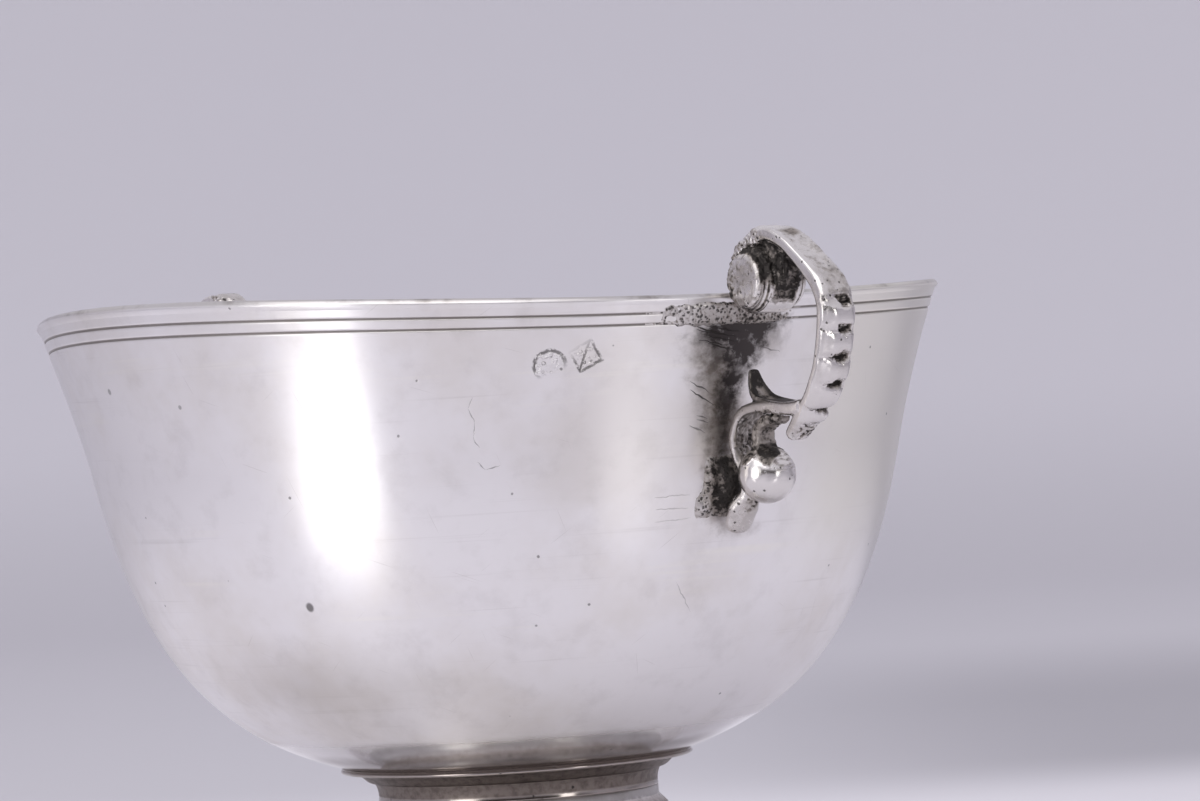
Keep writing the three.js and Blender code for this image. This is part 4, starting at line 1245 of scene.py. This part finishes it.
def work_handle(piece, courses):
    """Cuts the beads with a chisel, roughens what the file never reached, and stores where it is stained,
    painted shadow and painted reflection included.
    """
    points = vertex_places(piece) / MM
    flat = points[:, [0, 2]]
    y = points[:, 1]
    depth = np.abs(y)
    coarse = lumps(points, 1.1, 3.0)
    fine = lumps(points, 0.42, 7.0)

    def close_to(name, reach):
        return ((flat - courses[name]) ** 2).sum(axis=1) / reach

    # The beads: a chisel cut between each two, deep on the far half of the strap
    run, off, far = along_course(flat, courses["strap"])
    on_strap = soft_step(far, 2.0, 1.6)
    back = soft_step(off, 0.15, 0.6) * on_strap
    marks = [run_to(place, courses["strap"]) for place in courses["valleys"]]
    marks.append(marks[-1] + 2.4)
    cut = np.zeros(len(points))
    for mark in marks[:-1]:
        cut = np.maximum(cut, np.exp(-((run - mark + 0.12 * fine + 0.16 * coarse) / cut_width) ** 2))
    far_half = soft_step(y + 0.35 * coarse, -0.5, 0.35) * soft_step(y, 2.35, 1.9)
    pit = cut * far_half * back
    swell = np.zeros(len(points))
    for a, b in zip(marks, marks[1:]):
        phase = np.clip((run - a) / (b - a), 0, 1)
        swell = np.maximum(swell, 4 * phase * (1 - phase))
    move = back * swell * bead_swell * soft_step(np.abs(y - 0.3), 2.2, 1.0)
    move = move - pit * cut_depth - back * cut * 0.12

    # The outer face between the crest and the beads was left as cast
    crest_run = run_to(courses["crest"], courses["strap"])
    outer_face = back * soft_step(run, crest_run - 1.2, crest_run + 0.4)
    outer_face = outer_face * soft_step(run, marks[0] - 0.2, marks[0] - 1.0)
    outer_face *= soft_step(y, -1.55, -1.15)
    move += outer_face * (0.03 * fine + 0.03 * coarse)
    oval = np.exp(-((run - crest_run) / 1.15) ** 2 - ((y - 0.5) / 1.1) ** 2) * back
    pocket = np.exp(-close_to("pocket", 0.8) - ((y + 0.7) / 0.7) ** 2)
    tip_place = np.exp(-close_to("tip", 3.2) ** 2 - ((y - 0.3) / 1.3) ** 4) * soft_step(off, -0.3, 0.3)
    move -= 0.35 * pocket + 0.3 * tip_place * soft_step(fine, -0.1, 0.5)

    # The volute: rough wrap, dark web partly painted shadow, drum with two fine lines and a painted shadow on
    # its upper side, pitted side of the eye
    from_eye = flat - courses["eye"]
    eye_far = np.hypot(from_eye[:, 0], from_eye[:, 1])
    eye_turn = np.degrees(np.arctan2(from_eye[:, 1], from_eye[:, 0]))
    wrap = on_strap * soft_step(run, crest_run - 1.2, crest_run - 3.4) * soft_step(depth, 1.0, 1.9)
    move += wrap * (0.11 * fine + 0.03 * coarse)
    # The web is darkened as grainy casting left dark, and as painted shadow between the wrap and the eye
    web_far = np.hypot(flat[:, 0] - courses["web"][0], flat[:, 1] - courses["web"][1])
    web = soft_step(web_far, web_radius + 0.5, web_radius + 0.1)
    web = web * soft_step(depth, web_half + 0.55, web_half + 0.2)
    web *= soft_step(off, -0.55, -0.95) * soft_step(eye_far, eye_step_radius - 0.2, eye_step_radius + 0.15)
    web *= soft_step(np.abs(eye_turn - 20), 95, 75)
    move += web * (0.16 * fine + 0.16 * coarse)
    drum = soft_step(eye_far, eye_radius - 0.25, eye_radius - 0.05)
    drum = drum * soft_step(eye_far, eye_step_radius + 0.3, eye_step_radius)
    drum *= soft_step(depth, web_half - 0.1, web_half + 0.3)
    # Painted shadow: the drum is darkened on its upper side, which the wrap shades
    drum_painted_shadow = drum * soft_step(eye_turn, -22, 8) * soft_step(eye_turn, 178, 160)
    move += drum_painted_shadow * 0.1 * fine
    rings = np.exp(-((depth - 2.75) / 0.1) ** 2) + np.exp(-((depth - 2.3) / 0.1) ** 2)
    rings *= drum * soft_step(eye_turn, -95, -80) * soft_step(eye_turn, 20, -5)
    eye_side = soft_step(eye_far, eye_radius + 0.1, eye_radius - 0.3)
    eye_side = eye_side * soft_step(depth, eye_proud - 0.9, eye_proud - 0.5)
    eye_brown = eye_side * soft_step(from_eye[:, 0], -0.6, -1.7)
    move += eye_side * 0.05 * coarse - eye_brown * 0.08 * soft_step(fine, 0.2, 0.6)

    # The thorn leaf's hollow, the lower scroll's channel, the stem with painted shadow, and the ball with a
    # painted dark reflection on its cap
    thorn_run, thorn_off, thorn_far = along_course(flat, courses["thorn"])
    leaf = soft_step(thorn_far, 1.5, 1.2) * soft_step(thorn_off, -0.02, -0.3)
    leaf = leaf * soft_step(depth, 1.75, 1.35) * soft_step(thorn_run, 1.4, 2.6)
    scroll_run, scroll_off, scroll_far = along_course(flat, courses["scroll"])
    channel = soft_step(scroll_far, 1.4, 1.1) * soft_step(scroll_off, -0.1, 0.2)
    channel = channel * soft_step(depth, 1.95, 1.5)
    channel *= soft_step(scroll_run, 1.2, 2.4) * soft_step(scroll_run, 17.0, 14.5)
    # Painted shadow: the stem is darkened for the shaded gap between the ball and the band
    stem = soft_step(along_course(flat, courses["stem"])[2], 1.3, 0.9)
    ball = courses["ball"]
    from_ball = np.column_stack([points[:, 0] - ball[0], y, points[:, 2] - ball[1]]) / ball_radius
    on_ball = soft_step(np.linalg.norm(from_ball, axis=1), 1.16, 1.06)
    across = from_ball[:, 0] * 0.552 + from_ball[:, 1] * 0.834
    # Painted reflection: the top of the ball is darkened for the dark scroll and room it would reflect
    ball_cap_painted_reflection = on_ball * soft_step(from_ball[:, 2] - 1.3 * np.abs(across - 0.05) + 0.14 * coarse, 0.05, 0.3)
    brown_side = on_ball * soft_step(across, 0.2, 0.35) * soft_step(from_ball[:, 2], 0.02, 0.12)
    brown_side *= 0.6 + 0.4 * np.sin(from_ball[:, 2] * 45 + 2 * coarse)
    under_ball = np.exp(-close_to("under_ball", 1.2) - (y / 1.7) ** 2)
    move += ((channel + stem) * (0.07 * fine + 0.06 * coarse) - under_ball * 0.15 * soft_step(fine, 0, 0.5)
             + on_ball * 0.03 * coarse)
    points += vertex_normals(piece) * move[:, None]
    move_vertices(piece, points * MM)

    speck = soft_step(fine + 0.5 * coarse, -0.05, 0.35)
    # The stain holds oxide, pits and tarnish, and painted shadow on the drum, web and stem and a painted
    # reflection on the ball's cap
    keep_values(piece, "stain", np.maximum.reduce([
        1.25 * pit, 1.05 * oval, outer_face * (0.27 + 0.06 * coarse), 0.6 * pocket,
        1.1 * tip_place * (0.25 + 0.75 * speck), wrap * (0.12 + 0.36 * speck), web * (0.85 + 0.2 * fine),
        0.95 * drum_painted_shadow, 0.9 * rings, eye_brown * (0.3 + 0.4 * speck), leaf, channel * (0.38 + 0.1 * speck),
        0.6 * stem, 0.9 * ball_cap_painted_reflection, 0.36 * eye_side * speck, 0.4 * brown_side, under_ball * (0.5 + 0.6 * speck)]))
    keep_values(piece, "rugged", np.maximum.reduce([
        0.8 * wrap, 0.7 * web, 0.5 * channel, tip_place, 0.5 * eye_brown, 0.1 * outer_face]))


def fused(name, shapes, finish):
    """Joins closed forms into one skin, as metal poured into one mould."""
    vertices, faces = [], []
    for shape_vertices, shape_faces in shapes:
        faces += [[i + len(vertices) for i in face] for face in shape_faces]
        vertices += shape_vertices
    piece = new_piece(name, vertices, faces)
    remesh = piece.modifiers.new("one_skin", "REMESH")
    remesh.mode = "VOXEL"
    remesh.voxel_size = casting_grain * MM
    remesh.use_smooth_shade = True
    ease = piece.modifiers.new("eased", "SMOOTH")
    ease.factor = 0.5
    ease.iterations = 2
    settle(piece)
    piece.data.materials.clear()
    piece.data.materials.append(finish)
    return piece


def seat_on_wall(piece, depth):
    """Moves whatever would lie inside the bowl out to just under the skin of its bent wall."""
    points = vertex_places(piece)
    radius = np.hypot(points[:, 0], points[:, 1])
    dropped = rim_drop(np.arctan2(points[:, 1], points[:, 0]))
    before = points[:, 2] / MM
    for _ in range(5):
        share = np.clip(1 - (rim_height - before) / bend_depth, 0, None)
        before = points[:, 2] / MM + share ** 2 * dropped
    limit = np.interp(before, bowl_side[:, 1], bowl_side[:, 0]) - depth
    inside = (before < rim_height - 0.35) & (radius < limit * MM)
    points[:, :2] *= np.where(inside, limit * MM / np.maximum(radius, 1e-9), 1.0)[:, None]
    move_vertices(piece, points)


cast_silver = silver_finish("cast silver", cast_colour, grey_brown, 0.22, 0.0, 0.45, 0.93, 0.16, grain=0.07)
for side_name, turn in handle_places:
    handle_course = handle_courses(rim_height - rim_drop(math.radians(turn)) + raised[side_name])
    handle = fused(f"scroll_handle_{side_name}", handle_shapes(handle_course), cast_silver)
    work_handle(handle, handle_course)
    handle.data.transform(Matrix.Rotation(math.radians(turn), 4, "Z"))
    seat_on_wall(handle, 0.15)
    fitted(handle, f"handle_{side_name}", rounds=50, depth=0.22)

# The solder along the lip
# Silver solder that ran along the lip beside each handle and filled the two lines there.
# It is pitted and dull, with ragged edges.
band_reach = (-14, 8)
band_drops = (0.9, 4.6)
band_proud = 0.32
band_edge = 0.12
solder_mesh = 0.18
solder_sunk = 0.2
solder_colour = (0.62, 0.59, 0.57, 1)


def wall_point(turn, arc, drop, out):
    """A point on the bowl's outside: millimetres round from a turn, below the rim, and off the metal."""
    angle = math.radians(turn) + arc / rim_radius
    height = rim_height - drop
    share = max(0.0, 1 - drop / bend_depth)
    radius = wall_radius(height)
    slope = (wall_radius(height + 0.2) - wall_radius(height - 0.2)) / 0.4
    lean = math.hypot(1, slope)
    radius += out / lean
    height -= out * slope / lean
    dipped = height - share * share * float(rim_drop(angle))
    return (radius * math.cos(angle), radius * math.sin(angle), dipped)


def wall_skin(name, turn, arcs, drops, thickness, tone):
    """A closed skin of solder on the wall.

    thickness(u, v) and tone(u, v) run over the patch from 0 to 1 each way."""
    columns = max(8, int(abs(arcs[1] - arcs[0]) / solder_mesh))
    rows = max(8, int(abs(drops[1] - drops[0]) / solder_mesh))
    vertices, faces, tones = [], [], []
    for layer in (0, 1):
        for i in range(columns + 1):
            for j in range(rows + 1):
                u, v = i / columns, j / rows
                arc = arcs[0] + (arcs[1] - arcs[0]) * u
                drop = drops[0] + (drops[1] - drops[0]) * v
                out = thickness(u, v) if layer == 0 else -solder_sunk
                vertices.append(wall_point(turn, arc, drop, out))
                tones.append(tone(u, v))

    def face(*corners):
        faces.append([(layer * (columns + 1) + i) * (rows + 1) + j for layer, i, j in corners])

    for i in range(columns):
        for j in range(rows):
            face((0, i, j), (0, i, j + 1), (0, i + 1, j + 1), (0, i + 1, j))
            face((1, i, j), (1, i + 1, j), (1, i + 1, j + 1), (1, i, j + 1))
    for i in range(columns):
        face((0, i, 0), (0, i + 1, 0), (1, i + 1, 0), (1, i, 0))
        face((0, i + 1, rows), (0, i, rows), (1, i, rows), (1, i + 1, rows))
    for j in range(rows):
        face((0, 0, j + 1), (0, 0, j), (1, 0, j), (1, 0, j + 1))
        face((0, columns, j), (0, columns, j + 1), (1, columns, j + 1), (1, columns, j))
    piece = new_piece(name, vertices, faces)
    piece.data.shade_smooth()
    piece.data.materials.append(solder_silver)
    keep_values(piece, "stain", np.array(tones))
    keep_values(piece, "rugged", 0.6 + 0.4 * np.array(tones))
    return piece


def grainy(u, v, across, down, seed):
    """Smooth noise over a patch, with so many lumps across and down."""
    return noise.noise(Vector((u * across, v * down, seed)))


def band_thickness(u, v):
    """How far the run solder stands off the lip, with ragged ends and edges and a porous face."""
    ends = min(1, u / 0.34, (1 - u) / 0.26)
    edges = min(1, v / 0.22, (1 - v) / 0.22)
    uneven = grainy(u, v, 16, 3, 0.3) * 0.6 + grainy(u, v, 45, 8, 2.3) * 0.5
    ragged = 1.3 * ends * edges - 0.3 + 0.55 * uneven
    return -band_edge + (band_proud + band_edge) * max(0.0, min(1.0, ragged * 1.3))


def band_tone(u, v):
    """How dark the band is: darkest under the volute."""
    arc = band_reach[0] + (band_reach[1] - band_reach[0]) * u
    under = math.exp(-((arc - 0.5) / 4.2) ** 2)
    specks = max(0.0, grainy(u, v, 75, 14, 4.1) - 0.05)
    return 0.1 + 0.45 * under * (0.4 + 0.6 * v) + 0.95 * specks


solder_silver = silver_finish("pitted solder", solder_colour, grey_brown, 0.3, 0.0, 0.45, 0.7, 0.62,
                              grain=0.1, pit_size=0.42, pit_spacing=0.5)
for side_name, turn in handle_places:
    band = wall_skin(f"lip_solder_{side_name}", turn, band_reach, band_drops, band_thickness, band_tone)
    fitted(band, f"upper_solder_{side_name}", rounds=10, depth=0.1)

# The solder behind the lower scrolls
# A dark, grainy fillet of solder between each lower scroll and the wall, run in hot and never cleaned off.
# A paler lump lies beside it.
pad_drop = 22.4
pad_half = 4.4
pad_reach = (-6.2, 4.4)
pad_edge = 0.15
lump_arc = 4.9
lump_down = 0.54


def pad_place(u, v):
    """Millimetres round from the handle's middle, and down from the fillet's middle in half heights."""
    return pad_reach[0] + (pad_reach[1] - pad_reach[0]) * u, (v - 0.5) * 2


def pad_thickness(u, v):
    """How far the fillet stands off the wall: a grainy core, a bank beside it and one pale lump."""
    arc, down = pad_place(u, v)
    core = math.exp(-((arc + 0.4) / 2.2) ** 2) * max(0.0, 1 - down * down) ** 1.5 * 1.9
    bank = 0.6 * math.exp(-((arc + 3.6) / 0.8) ** 2) * max(0.0, 1 - down * down)
    lump = 0.8 * math.exp(-((arc + lump_arc) / 1.0) ** 2 - ((down - lump_down) / 0.3) ** 2)
    ragged = grainy(u, v, 11, 9, 5.1) * 0.5 + grainy(u, v, 30, 26, 8.1) * 0.35
    window = min(1, u / 0.15, (1 - u) / 0.15, v / 0.12, (1 - v) / 0.12)
    return -pad_edge + max(0.0, (core + bank + lump + 0.22 * ragged) * max(0.0, window))


def pad_tone(u, v):
    """How dark the fillet is: nearly black at its core, pale on the lump."""
    arc, down = pad_place(u, v)
    wander = 1.1 * grainy(u, v, 5, 4, 6.3) + 0.5 * grainy(u, v, 14, 12, 1.9)
    aside = (arc + 1.2 - 0.5 * down + wander) / (1.9 + 0.5 * down)
    core = min(1.0, 1.25 * math.exp(-aside ** 2 - (abs(down + 0.3 * wander) / 0.72) ** 3))
    lump = math.exp(-((arc + lump_arc) / 0.9) ** 2 - ((down - lump_down) / 0.25) ** 2)
    specks = max(0.0, grainy(u, v, 34, 28, 2.7))
    return max(0.0, 0.3 + 0.75 * core - 0.35 * lump + 0.5 * specks)


for side_name, turn in handle_places:
    top = float(rim_drop(math.radians(turn))) + pad_drop - pad_half
    pad = wall_skin(f"scroll_solder_{side_name}", turn, pad_reach, (top, top + 2 * pad_half), pad_thickness,
                    pad_tone)
    fitted(pad, f"lower_solder_{side_name}", rounds=10, depth=0.15)
